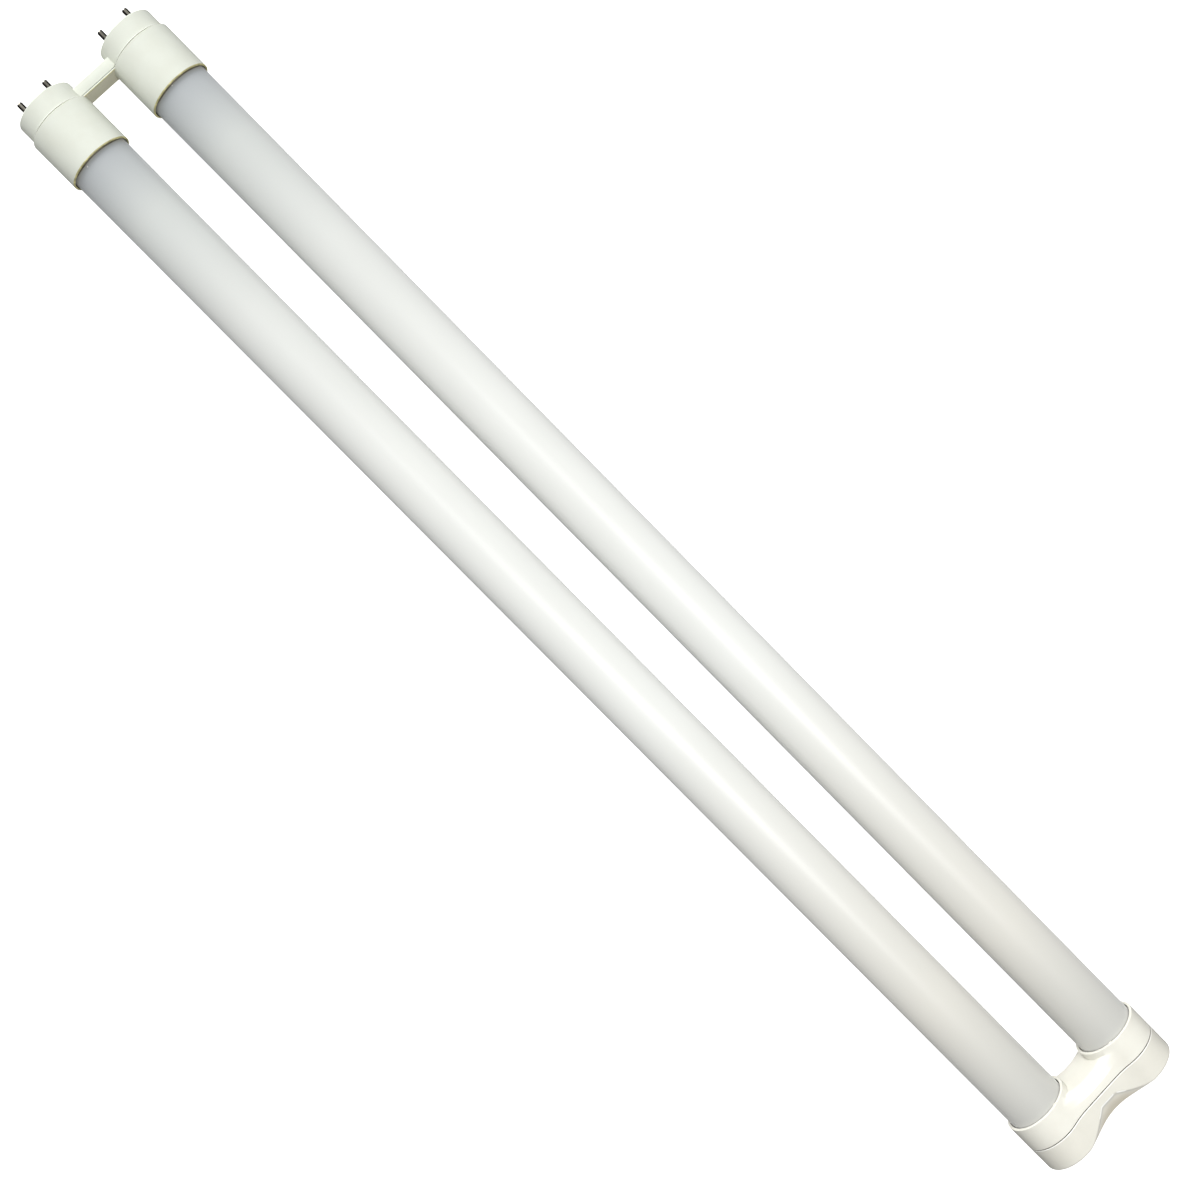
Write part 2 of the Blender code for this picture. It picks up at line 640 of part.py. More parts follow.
def make_bend_cover():
    """The closing half of the bend: a hollow shell with a scooped waist and a lip inside the collar."""
    cover = extruded("bend_cover", [bend_outline()], COVER_START, BEND_END, LAMP, BEND_CREAM)
    bevel_far_edge(cover)
    bend_boolean(cover, scoop_cutter("cutter_scoop_upper", 1))
    bend_boolean(cover, scoop_cutter("cutter_scoop_lower", -1))
    inner_end = BEND_END - BEND_WALL
    front = COVER_START - GAP / 2
    for side, leg in LEGS.items():
        hollow = rod("cutter_cover_lobe_" + side, BEND_LOBE_RADIUS - BEND_WALL, front, inner_end, leg,
                     BEND_CREAM)
        bend_boolean(cover, as_cutter(hollow))
    inside = BEND_WAIST_HALF_HEIGHT - BEND_WALL
    waist = block("cutter_cover_waist", (front, -LEG_OFFSET / 2, -inside),
                  (BEND_END - SCOOP_LENGTH - BEND_WALL, LEG_OFFSET / 2, inside), LAMP, BEND_CREAM)
    passage = block("cutter_cover_passage", (front, -LEG_OFFSET, -BEND_PASSAGE_HALF_HEIGHT),
                    (inner_end, LEG_OFFSET, BEND_PASSAGE_HALF_HEIGHT), LAMP, BEND_CREAM)
    bend_boolean(cover, as_cutter(waist))
    bend_boolean(cover, as_cutter(passage))
    lip_outer = BEND_THROAT_RADIUS - GAP
    lip_inner = lip_outer - BEND_LIP_WALL
    seated = BEND_LOBE_RADIUS - BEND_WALL / 2
    for (side, leg), outwards in zip(LEGS.items(), (1, -1)):
        flange_start = COVER_START + GAP
        flange_end = flange_start + BEND_LIP_FLANGE
        profile = [
            (seated, flange_end),
            (seated, flange_start),
            (lip_outer, flange_start),
            (lip_outer, COVER_START - BEND_LIP_REACH),
            (lip_inner, COVER_START - BEND_LIP_REACH),
            (lip_inner, flange_end),
        ]
        lip = as_cutter(turned("cutter_lip_" + side, profile, leg, BEND_CREAM))
        inner_half = block("cutter_lip_inner_half_" + side, (TUBE_END, -LEG_SPACING, -LEG_SPACING),
                           (BEND_END, 0, LEG_SPACING), leg, BEND_CREAM)
        inner_half.location.y *= outwards
        bend_boolean(lip, as_cutter(inner_half))
        bend_boolean(cover, lip, "UNION")


# ---------------------------------------------------------------- driver


def sleeve_outline(inset):
    radius = SLEEVE_RADIUS - inset
    angle = math.asin((SLEEVE_TOP - inset) / radius)
    return arc((0, 0), radius, angle, -math.pi - angle, 2 * ARC_STEPS)


def make_driver(leg):
    half = DRIVER_BOARD_HALF_WIDTH
    block("driver_board", (DRIVER_START, -half, DRIVER_BOARD_BOTTOM), (DRIVER_END, half, DRIVER_BOARD_TOP),
          leg, BOARD_GREEN)
    extruded("driver_sleeve", [sleeve_outline(0), sleeve_outline(SLEEVE_WALL)],
             DRIVER_START - SLEEVE_OVERHANG, DRIVER_END + SLEEVE_OVERHANG, leg, SLEEVE_FILM)
    component("driver_rectifier", RECTIFIER_SIZE, DRIVER_START + RECTIFIER_PLACE, leg, BLACK_RESIN)
    transformer = (TRANSFORMER_LENGTH, TRANSFORMER_WIDTH, TRANSFORMER_HEIGHT)
    component("driver_transformer", transformer, DRIVER_START + TRANSFORMER_PLACE, leg, TAPE_YELLOW)
    lying_component("driver_fuse", FUSE_RADIUS, FUSE_LENGTH, DRIVER_START + FUSE_PLACE, leg, CERAMIC)
    lying_component("driver_capacitor", CAPACITOR_RADIUS, CAPACITOR_LENGTH, DRIVER_START + CAPACITOR_PLACE,
                    leg, CAPACITOR_BLACK)
    make_choke(leg)


def component(name, size, start, leg, finish):
    """A box hung under the driver board."""
    low = (start, -size[1] / 2, COMPONENT_TOP - size[2])
    high = (start + size[0], size[1] / 2, COMPONENT_TOP)
    block(name, low, high, leg, finish)


def lying_component(name, radius, length, start, leg, finish):
    """A round component lying under the driver board."""
    rod(name, radius, start, start + length, leg, finish, SMALL_STEPS, (0, COMPONENT_TOP - radius))


def make_choke(leg):
    """A drum core with its winding, standing out from the driver board."""
    half = CHOKE_HEIGHT / 2
    flange = CHOKE_WINDING_HEIGHT / 2
    winding = CHOKE_WINDING_RADIUS
    profile = [
        (0, half),
        (CHOKE_RADIUS, half),
        (CHOKE_RADIUS, flange),
        (winding, flange),
        (winding, -flange),
        (CHOKE_RADIUS, -flange),
        (CHOKE_RADIUS, -half),
        (0, -half),
    ]
    turned("driver_choke", profile, leg, FERRITE, SMALL_STEPS,
           (DRIVER_START + CHOKE_PLACE, 0, COMPONENT_TOP - half), closed=False, rotation=(0, 0, 0))


# ---------------------------------------------------------------- wires


def make_pin_leads(tail_end):
    """From each pin's tail to the driver board. The right cap's pair passes through the bridge."""
    start = tail_end + GAP
    dip = CARRIER_START - LEAD_RADIUS - GAP
    pad = DRIVER_START - GAP
    level = DRIVER_BOARD_MIDDLE
    pin = PIN_PITCH / 2
    left = LEG_OFFSET
    right = -LEG_OFFSET
    duct = BRIDGE_WINDOW_STATION
    mouth = LEG_OFFSET - SPIGOT_BORE + LEAD_RADIUS + GAP
    wire("pin_lead_left_outer", [
        (start, left + pin, 0),
        (start + 0.0030, left + pin, -0.0004),
        (dip, left + 0.0056, level),
        (pad, left + 0.0052, level),
    ], WIRE_WHITE)
    wire("pin_lead_left_inner", [
        (start, left - pin, 0),
        (start + 0.0030, left - pin + 0.0006, -0.0004),
        (dip, left - 0.0010, level),
        (pad, left + 0.0010, level),
    ], WIRE_WHITE)
    wire("pin_lead_right_inner", [
        (start, right + pin, 0),
        (duct + 0.0006, right + pin + 0.0012, 0.0006),
        (duct, -mouth, LEAD_SPREAD),
        (duct, 0, LEAD_SPREAD),
        (duct, mouth - 0.0015, LEAD_SPREAD),
        (duct + 0.0016, mouth + 0.0006, LEAD_SPREAD * 0.6),
        (duct + 0.0045, mouth + 0.0012, -0.0018),
        (dip, left - 0.0074, level),
        (pad, left - 0.0064, level),
    ], WIRE_BLACK)
    wire("pin_lead_right_outer", [
        (start, right - pin, 0),
        (start + 0.0030, right - pin + 0.0008, -0.0008),
        (start + 0.0045, right - 0.0010, -0.0030),
        (duct + 0.0018, right + pin + 0.0004, -0.0028),
        (duct, -mouth, -LEAD_SPREAD),
        (duct, 0, -LEAD_SPREAD),
        (duct, mouth - 0.0015, -LEAD_SPREAD),
        (duct + 0.0018, mouth + 0.0016, -LEAD_SPREAD * 1.4),
        (duct + 0.0045, mouth + 0.0034, -0.0030),
        (dip, left - 0.0042, level),
        (pad, left - 0.0028, level),
    ], WIRE_BLACK)


def make_output_leads():
    """From the driver board's far end, up through the carrier's holes, to the left LED board."""
    top = BOARD_TOP + GAP + LEAD_RADIUS
    for name, side, finish in (
        ("output_lead_positive", 1, WIRE_RED),
        ("output_lead_negative", -1, WIRE_BLACK),
    ):
        offset = OUTPUT_HOLE_OFFSET
        route = [
            (DRIVER_END + GAP, 0.0040, DRIVER_BOARD_MIDDLE),
            (DRIVER_END + 0.0025, 0.0060, DRIVER_BOARD_MIDDLE - 0.0004),
            (OUTPUT_HOLE_STATION - 0.0005, offset - 0.0001, CARRIER_PLATE_BOTTOM - 0.0006),
            (OUTPUT_HOLE_STATION, offset, CARRIER_PLATE_TOP),
            (OUTPUT_HOLE_STATION + 0.0006, offset - 0.0003, top),
            (OUTPUT_HOLE_STATION + 0.0025, offset - 0.0028, top + 0.0003),
            (OUTPUT_HOLE_STATION + 0.0045, offset - 0.0045, top),
        ]
        wire(name, [(x, LEG_OFFSET + side * y, z) for x, y, z in route], finish)


def make_link_wires():
    """From the left LED board, round inside the bend, to the right one."""
    top = BOARD_TOP + GAP + LEAD_RADIUS
    start = BOARD_END - 0.0030
    cross = COVER_START + BEND_LIP_FLANGE + GAP + LEAD_RADIUS
    for name, offset, height, station, finish in (
        ("link_wire_positive", -0.0035, 0.0016, cross, WIRE_RED),
        ("link_wire_negative", 0.0035, -0.0016, cross + 0.0012, WIRE_BLACK),
    ):
        half = [
            (start, LEG_OFFSET + offset, top),
            (BOARD_END + 0.0015, LEG_OFFSET + offset, top + 0.0004),
            (station - 0.0020, LEG_OFFSET + offset - 0.0018, (top + height) / 2),
            (station, LEG_OFFSET - 0.0085, height),
            (station, LEG_OFFSET / 4, height),
        ]
        wire(name, half + [(x, -y, z) for x, y, z in reversed(half)], finish)


# ---------------------------------------------------------------- the lamp

clear_scene()
PARTS = new_collection("u_bend_led_tube_lamp")
CUTTERS = new_collection("cutters")

FROSTED = material("frosted_diffuser", (0.62, 0.63, 0.64), 0.45)
CAP_WHITE = material("cap_white_plastic", (0.80, 0.80, 0.76), 0.40)
BEND_CREAM = material("bend_cream_plastic", (0.86, 0.85, 0.79), 0.45)
PIN_METAL = material("nickelled_brass", (0.42, 0.40, 0.37), 0.28, 1.0)
SEALANT = material("seal_bead", (0.30, 0.28, 0.22), 0.60)
GASKET_FOAM = material("gasket_foam", (0.75, 0.75, 0.75), 0.90)
ALUMINIUM = material("carrier_aluminium", (0.75, 0.76, 0.78), 0.40, 1.0)
BOARD_WHITE = material("led_board_white", (0.90, 0.90, 0.88), 0.50)
BOARD_GREEN = material("driver_board_green", (0.06, 0.26, 0.12), 0.50)
SLEEVE_FILM = material("sleeve_film", (0.20, 0.20, 0.22), 0.35)
BLACK_RESIN = material("black_resin", (0.03, 0.03, 0.03), 0.50)
TAPE_YELLOW = material("transformer_tape", (0.80, 0.62, 0.10), 0.45)
CERAMIC = material("fuse_ceramic", (0.82, 0.78, 0.70), 0.60)
CAPACITOR_BLACK = material("capacitor_sleeve", (0.04, 0.04, 0.07), 0.40)
FERRITE = material("ferrite", (0.10, 0.09, 0.09), 0.60)
WIRE_WHITE = material("wire_white", (0.85, 0.85, 0.82), 0.50)
WIRE_BLACK = material("wire_black", (0.03, 0.03, 0.03), 0.50)
WIRE_RED = material("wire_red", (0.60, 0.05, 0.04), 0.50)

LAMP = new_empty("lamp_frame", None, ((PIN_PROJECTION - LAMP_LENGTH) / 2, 0, BEND_LOBE_RADIUS))
LEGS = {
    "left": new_empty("leg_left", LAMP, (0, LEG_OFFSET, 0)),
    "right": new_empty("leg_right", LAMP, (0, -LEG_OFFSET, 0)),
}
BRIDGE_WINDOW = make_bridge_window()


def main():
    tail_end = 0.0
    for (side, leg), outwards in zip(LEGS.items(), (1, -1)):
        make_tube(side, leg)
        make_cap(side, leg)
        make_collar(side, leg)
        make_seal(side, leg)
        make_gasket(side, leg)
        make_carrier(side, leg)
        make_led_board(side, leg)
        make_pin(f"contact_pin_{side}_outer", leg, outwards * PIN_PITCH / 2)
        tail_end = make_pin(f"contact_pin_{side}_inner", leg, -outwards * PIN_PITCH / 2)
    make_bridge()
    make_bend_collar()
    make_bend_cover()
    make_driver(LEGS["left"])
    make_pin_leads(tail_end)
    make_output_leads()
    make_link_wires()


main()
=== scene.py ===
"""Looks of the U-bend LED tube lamp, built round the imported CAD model.

Laid out as an add-on: each operator makes one group of pieces, the panel lists them, and main() runs
them in order. Metres, +Z up. The lamp lies along X, its contact pins at -X and its return bend at +X.
"""

import functools
import math

import bmesh
import bpy
from bpy.props import FloatProperty, FloatVectorProperty, IntProperty, PointerProperty
from mathutils import Matrix, Vector


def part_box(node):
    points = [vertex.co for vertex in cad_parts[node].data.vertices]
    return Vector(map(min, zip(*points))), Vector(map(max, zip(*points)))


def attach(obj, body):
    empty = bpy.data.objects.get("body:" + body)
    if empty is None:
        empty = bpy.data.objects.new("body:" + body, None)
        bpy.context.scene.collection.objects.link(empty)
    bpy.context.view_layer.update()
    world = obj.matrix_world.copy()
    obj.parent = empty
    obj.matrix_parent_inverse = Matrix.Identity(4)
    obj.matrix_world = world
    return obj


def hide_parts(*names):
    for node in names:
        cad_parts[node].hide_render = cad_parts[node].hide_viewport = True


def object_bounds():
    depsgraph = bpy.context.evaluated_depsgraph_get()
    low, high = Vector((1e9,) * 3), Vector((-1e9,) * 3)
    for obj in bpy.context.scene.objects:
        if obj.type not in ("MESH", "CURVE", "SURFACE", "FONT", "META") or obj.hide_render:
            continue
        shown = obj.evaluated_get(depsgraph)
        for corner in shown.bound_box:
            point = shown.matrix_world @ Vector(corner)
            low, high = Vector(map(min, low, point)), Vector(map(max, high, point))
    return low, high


bl_info = {
    "name": "U-bend LED Tube Lamp",
    "version": (1, 0, 0),
    "blender": (4, 5, 0),
    "location": "View3D > Sidebar > Tube Lamp",
    "description": "Builds the visible pieces, finishes and studio of a U-bend LED tube lamp",
    "category": "Object",
}

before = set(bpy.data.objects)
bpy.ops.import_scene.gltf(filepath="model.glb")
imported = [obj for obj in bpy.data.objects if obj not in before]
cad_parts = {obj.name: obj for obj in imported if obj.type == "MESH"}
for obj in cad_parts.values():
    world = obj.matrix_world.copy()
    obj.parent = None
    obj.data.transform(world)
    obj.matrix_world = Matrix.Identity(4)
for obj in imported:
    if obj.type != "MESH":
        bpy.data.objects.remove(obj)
CAD_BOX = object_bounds()

# ---------------------------------------------------------------- places from the frame

SIDES = ("left", "right")
MM = 0.001


def middle(node):
    low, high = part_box(node)
    return (low + high) / 2


def radius_of(node):
    low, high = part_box(node)
    return (high.y - low.y) / 2


LEG_Y = {side: middle("diffuser_tube_" + side).y for side in SIDES}
LEG_OFFSET = abs(LEG_Y["left"])
AXIS_Z = middle("diffuser_tube_left").z
TUBE_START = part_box("diffuser_tube_left")[0].x
TUBE_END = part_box("diffuser_tube_left")[1].x
TUBE_RADIUS = radius_of("diffuser_tube_left")
CAP_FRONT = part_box("pin_cap_left")[0].x
CAP_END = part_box("pin_cap_left")[1].x
CAP_RADIUS = radius_of("pin_cap_left")
COLLAR_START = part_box("cap_collar_left")[0].x
COLLAR_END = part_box("cap_collar_left")[1].x
COLLAR_RADIUS = radius_of("cap_collar_left")
SEAL_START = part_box("cap_seal_left")[0].x
SEAL_RADIUS = radius_of("cap_seal_left")
PIN_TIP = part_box("contact_pin_left_outer")[0].x
PIN_TAIL_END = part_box("contact_pin_left_outer")[1].x
PIN_FLANGE_RADIUS = radius_of("contact_pin_left_outer")
BRIDGE_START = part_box("bridge_duct")[0].x
BRIDGE_SPLIT_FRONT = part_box("bridge_duct")[1].x
BRIDGE_SPLIT_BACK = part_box("bridge_lid")[0].x
BRIDGE_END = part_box("bridge_lid")[1].x
BRIDGE_HALF_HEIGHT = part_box("bridge_lid")[1].z - AXIS_Z
BEND_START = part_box("bend_collar")[0].x
BEND_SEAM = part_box("bend_collar")[1].x
COVER_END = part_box("bend_cover")[1].x
BEND_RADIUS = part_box("bend_cover")[1].z - AXIS_Z
GASKET_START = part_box("bend_gasket_left")[0].x
GASKET_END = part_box("bend_gasket_left")[1].x
BOARD_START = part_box("led_board_left")[0].x
BOARD_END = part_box("led_board_left")[1].x
BOARD_HALF_WIDTH = radius_of("led_board_left")
BOARD_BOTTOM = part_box("led_board_left")[0].z
BOARD_LED_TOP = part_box("led_board_left")[1].z
GAP = 0.3 * MM  # between pieces that touch
COVER_START = BEND_SEAM + GAP
SMOOTH_ANGLE = math.radians(38)  # edges sharper than this stay sharp


# ---------------------------------------------------------------- sizes and colours to change


def length(name, description, default):
    return FloatProperty(name=name, description=description, default=default, unit="LENGTH", precision=5)


def colour(name, description, default):
    return FloatVectorProperty(name=name, description=description, default=default, subtype="COLOR",
                               size=3, min=0.0, max=1.0)


def share(name, description, default):
    return FloatProperty(name=name, description=description, default=default, subtype="FACTOR",
                         min=0.0, max=1.0)


class TubeSettings(bpy.types.PropertyGroup):
    """The frosted diffuser tubes"""

    wall: length("Wall", "Thickness of the diffuser's wall", 1.0 * MM)
    end_round: length("End round", "Rounding of the cut ends", 0.25 * MM)
    steps: IntProperty(name="Facets", description="Facets round the tube", default=144, min=24)
    # Painted light and shade along the tube: these colours are greyer at each end, where the caps shade it,
    # and lightest at mid length.
    painted_shade_at_pins: colour("Colour at the pins", "Frosted plastic beside the pin caps", (0.465, 0.495, 0.515))
    painted_shade_near_pins: colour("Colour near the pins", "Frosted plastic over the driver", (0.655, 0.680, 0.660))
    painted_light_mid_length: colour("Colour at mid length", "Frosted plastic over the lit board", (0.79, 0.80, 0.77))
    painted_shade_near_bend: colour("Colour near the bend", "Frosted plastic over the board's end", (0.65, 0.64, 0.59))
    painted_shade_at_bend: colour("Colour at the bend", "Frosted plastic beside the return bend", (0.51, 0.51, 0.48))
    mouth_shade: colour("Mouth shade", "Soft shade beside the collars' mouths", (0.20, 0.18, 0.14))
    roughness: share("Roughness", "Roughness of the frosted surface", 0.38)
    frost: share("Frost", "How matt the diffuser scatters light", 0.28)
    sheen: share("Sheen", "Soft brightening towards the sides", 0.20)


class CapSettings(bpy.types.PropertyGroup):
    """The pin caps, their collars and the bridge between them"""

    front_round: length("Front round", "Rounding of the cap's front edge", 0.45 * MM)
    collar_round: length("Collar round", "Rounding of the collar's front edge", 0.3 * MM)
    collar_wall: length("Collar wall", "Thickness of the collar's wall", 0.7 * MM)
    spigot_clearance: length("Spigot clearance", "Between the cap's spigot and the collar's bore", 1.7 * MM)
    ledge_length: length("Ledge length", "Length of the ledge inside the collar's front", 1.6 * MM)
    ledge_height: length("Ledge height", "How far the ledge stands in from the collar's bore", 1.4 * MM)
    # Painted shade: width of the dark olive band round the collar's mouth.
    rim_shade_band: length("Rim band", "Width of the glue film round the collar's mouth", 0.42 * MM)
    # Painted highlight: width of a bright band on the cap just in front of the collar.
    highlight_band: length("Polished band", "Width of the bright line on the cap beside the collar", 0.25 * MM)
    wall: length("Cap wall", "Thickness of the cap's side wall", 1.2 * MM)
    front_wall: length("Front wall", "Thickness of the cap's front wall", 1.6 * MM)
    steps: IntProperty(name="Facets", description="Facets round a cap", default=144, min=24)
    plastic: colour("Plastic", "Moulded cap plastic", (0.80, 0.83, 0.74))
    plastic_shade: colour("Plastic shade", "Darker clouds in the cap plastic", (0.74, 0.76, 0.66))
    roughness: share("Roughness", "Roughness of the moulded skin", 0.42)
    # Painted shade: the dark olive film on the collar's rim and the bridge lid's edges.
    rim_shade_tint: colour("Edge glue", "Yellowed glue on the collar's rim", (0.44, 0.41, 0.20))
    # Painted shade: a dark line on the collar's front rounding.
    step_shade: colour("Step shade", "Dirt on the collar's front edge", (0.20, 0.18, 0.11))
    # Painted shade: a darker copy of the cap plastic for the bridge's side that faces the bend.
    duct_side_shade: colour("Bridge side", "Shaded plastic on the bridge's inner side", (0.62, 0.60, 0.46))


class PinSettings(bpy.types.PropertyGroup):
    """The four contact pins"""

    radius: length("Radius", "Radius of the contact's shank", 1.175 * MM)
    tip_round: length("Tip round", "Rounding of the contact's tip", 0.85 * MM)
    flange: length("Flange", "Thickness of the flange behind the cap's front wall", 0.8 * MM)
    tail_radius: length("Tail radius", "Radius of the soldering tail", 0.9 * MM)
    metal: colour("Metal", "Nickelled brass", (0.76, 0.72, 0.62))
    # Painted shade and tarnish: the near-black colour of the contact away from its painted highlight.
    tarnish_and_shade: colour("Tarnish", "Darker streaks along the contact", (0.012, 0.011, 0.009))


class SealSettings(bpy.types.PropertyGroup):
    """The seal beads at the collars' mouths"""

    reach: length("Reach", "How far the bead runs out along the tube", 0.35 * MM)
    recess: length("Recess", "How far the bead sinks into the mouth at the tube's sides", 1.7 * MM)
    ripple: share("Ripple", "How uneven the bead is round the tube", 0.30)
    # Painted shade, in part: the bead's near-black brown also stands for the shadow under the collar's rim.
    bead: colour("Bead", "Set adhesive", (0.085, 0.075, 0.050))
    speck: colour("Speck", "A drop of white glue beside the bead", (0.9, 0.9, 0.88))
    seed: IntProperty(name="Seed", description="Seed of the bead's ripple", default=7)


class BendSettings(bpy.types.PropertyGroup):
    """The two halves of the return bend"""

    waist_drop: length("Waist drop", "How much lower the waist is than the lobes", 2.0 * MM)
    shoulder: length("Shoulder", "Fillet between lobe and waist", 25.0 * MM)
    web_setback: length("Web setback", "From the sleeves' rims back to the web", 4.3 * MM)
    web_hollow: length("Web hollow", "Radius of the web's hollow front", 30.0 * MM)
    web_fall: length("Web fall", "How far the web's top falls towards its front", 0.6 * MM)
    web_front_round: length("Web front round", "Rounding of the web's front edge", 3.4 * MM)
    wall: length("Wall", "Thickness of the cover's wall", 1.4 * MM)
    rim_round: length("Rim round", "Rounding of the sleeves' rims", 0.22 * MM)
    seam_round: length("Seam round", "Rounding of the two halves where they meet", 0.14 * MM)
    end_round: length("End round", "Rounding of the cover's far edge", 0.8 * MM)
    scoop_length: length("Scoop length", "From the cover's end to the scoop's front crease", 7.7 * MM)
    scoop_floor: length("Scoop floor", "Half height that the scoop leaves at the end", 6.4 * MM)
    scoop_front: length("Scoop front", "Half width of the scoop at its front crease", 3.8 * MM)
    scoop_back: length("Scoop back", "Half width of the scoop's floor at the end", 4.2 * MM)
    scoop_run: length("Scoop side run", "How far each side crease runs along the lamp", 2.7 * MM)
    scoop_spread: length("Scoop side spread", "How far each side crease spreads", 3.9 * MM)
    crease_round: length("Crease round", "Width of the rounding along the scoop's rim", 0.30 * MM)
    scoop_round: length("Scoop round", "Width of the rounding between the scoop's floor and flanks",
                        2.4 * MM)
    # Painted light and shade in the scoop: the depth under the outline over which it goes from lighter to
    # browner and darker.
    recess_shade_depth: length("Hollow depth", "Depth under the cover's outline where dirt has settled", 2 * MM)
    # Painted highlight: how far the bright line runs down the scoop's flanks.
    highlight_run: length("Polish run", "How far the polished line follows the scoop's flanks", 2.6 * MM)
    steps: IntProperty(name="Facets", description="Facets round a sleeve", default=144, min=24)
    plastic: colour("Plastic", "Moulded bend plastic", (0.775, 0.765, 0.69))
    plastic_shade: colour("Plastic shade", "Darker clouds in the bend plastic", (0.72, 0.70, 0.62))
    cover: colour("Cover plastic", "Moulded plastic of the bend's cover", (0.715, 0.700, 0.625))
    # Painted shade: the dark colour of the seam between the halves and of the sleeves' bores.
    seam_shade: colour("Seam shade", "Dirt in the seam between the halves", (0.10, 0.09, 0.07))
    roughness: share("Roughness", "Roughness of the moulded skin", 0.36)


class BoardSettings(bpy.types.PropertyGroup):
    """The LED boards inside the tubes"""

    thickness: length("Thickness", "Thickness of the bare board", 1.0 * MM)
    pitch: length("LED pitch", "From one LED to the next", 12.0 * MM)
    led_length: length("LED length", "Length of an LED package", 3.5 * MM)
    led_width: length("LED width", "Width of an LED package", 2.8 * MM)
    lens_radius: length("Lens radius", "Radius of the phosphor window", 1.1 * MM)
    mask: colour("Solder mask", "White solder mask", (0.83, 0.83, 0.80))
    phosphor: colour("Phosphor", "Phosphor in the LED's window", (0.80, 0.62, 0.08))


class StageSettings(bpy.types.PropertyGroup):
    """The studio: floor, lights and camera"""

    camera_place: FloatVectorProperty(
        name="Camera place", description="Where the camera stands", subtype="TRANSLATION", size=3,
        default=(-0.03607, -0.06603, 0.60892))
    camera_view: FloatVectorProperty(
        name="Camera view", description="The direction that the camera looks in", subtype="DIRECTION",
        size=3, default=(0.0599, 0.1059, -0.9926))
    camera_up: FloatVectorProperty(
        name="Camera up", description="The direction that is up in the picture", subtype="DIRECTION",
        size=3, default=(-0.7095, 0.7039, 0.0323))
    lens: FloatProperty(name="Lens", description="Focal length on a 36 mm sensor", default=45.86,
                        subtype="DISTANCE_CAMERA")
    floor: colour("Floor", "Pale studio floor", (0.93, 0.93, 0.93))
    floor_radius: length("Floor radius", "Radius of the floor's flat part", 2.4)
    floor_glow: share("Floor glow", "How much the lit floor adds by itself", 0.85)
    room: FloatProperty(name="Room light", description="Even light from all round", default=0.06)
    room_pins: FloatProperty(name="Room light, pins", description="Extra light from the pins' side",
                             default=0.80)
    room_bend: FloatProperty(name="Room light, bend", description="Extra light from the bend's side",
                             default=0.50)
    room_left: FloatProperty(name="Room light, left", description="Extra light from the left leg's side",
                             default=0.09)
    low: FloatProperty(name="Low softbox", description="Strength of the low softbox past the pins",
                       default=2.7)
    low_place: FloatVectorProperty(
        name="Low place", description="Direction of the low softbox past the pins",
        subtype="DIRECTION", size=3, default=(-0.90, 0.02, 0.42))
    low_width: FloatProperty(name="Low width", description="Width of the low softbox, as an angle",
                             default=math.radians(28), subtype="ANGLE")
    key: FloatProperty(name="Key power", description="Power of the key softbox", default=2.85,
                       subtype="POWER")
    key_place: FloatVectorProperty(
        name="Key place", description="Where the key softbox hangs", subtype="TRANSLATION", size=3,
        default=(0.20, 0.05, 0.80))
    top: FloatProperty(name="Top power", description="Power of the long top softbox", default=1.1,
                       subtype="POWER")
    top_place: FloatVectorProperty(
        name="Top place", description="Where the long top softbox hangs", subtype="TRANSLATION", size=3,
        default=(0.05, 0.0, 0.90))


class LampSettings(bpy.types.PropertyGroup):
    """All settings of the lamp"""

    tubes: PointerProperty(type=TubeSettings)
    caps: PointerProperty(type=CapSettings)
    pins: PointerProperty(type=PinSettings)
    seals: PointerProperty(type=SealSettings)
    bend: PointerProperty(type=BendSettings)
    boards: PointerProperty(type=BoardSettings)
    stage: PointerProperty(type=StageSettings)


# ---------------------------------------------------------------- mesh helpers


def mesh_object(name, shape, materials, outward=True):
    """Turns a bmesh into a smooth-shaded object at the origin."""
    bmesh.ops.remove_doubles(shape, verts=shape.verts, dist=0.0005 * MM)
    if outward:
        bmesh.ops.recalc_face_normals(shape, faces=shape.faces)
    mesh = bpy.data.meshes.new(name)
    shape.to_mesh(mesh)
    shape.free()
    for finish in materials:
        mesh.materials.append(finish)
    obj = bpy.data.objects.new(name, mesh)
    bpy.context.scene.collection.objects.link(obj)
    smooth(obj)
    return obj


def smooth(obj):
    obj.data.shade_smooth()
    obj.data.set_sharp_from_angle(angle=SMOOTH_ANGLE)


def rounded_profile(corners, closed=True, steps=4):
    """Corners are (radius, x, round). Each rounded corner becomes an arc, with a point each side that
    keeps the shading of the faces beside it flat."""
    count = len(corners)
    points = []
    for i, (radius, x, fillet) in enumerate(corners):
        here = Vector((radius, x))
        if fillet <= 0 or (not closed and i in (0, count - 1)):
            points.append(here)
            continue
        before = Vector(corners[i - 1][:2]) - here
        after = Vector(corners[(i + 1) % count][:2]) - here
        half = before.angle(after) / 2
        reach = min(fillet / math.tan(half), 0.47 * before.length, 0.47 * after.length)
        fillet = reach * math.tan(half)
        first = here + before.normalized() * reach
        last = here + after.normalized() * reach
        centre = here + (before.normalized() + after.normalized()).normalized() * (fillet / math.sin(half))
        points.append(here + before.normalized() * min(reach * 1.3, 0.49 * before.length))
        sweep = math.pi - 2 * half
        for step in range(steps + 1):
            t = step / steps
            arm = (first - centre) * math.sin((1 - t) * sweep) + (last - centre) * math.sin(t * sweep)
            points.append(centre + arm / math.sin(sweep))
        points.append(here + after.normalized() * min(reach * 1.3, 0.49 * after.length))
    return [tuple(p) for p in points]


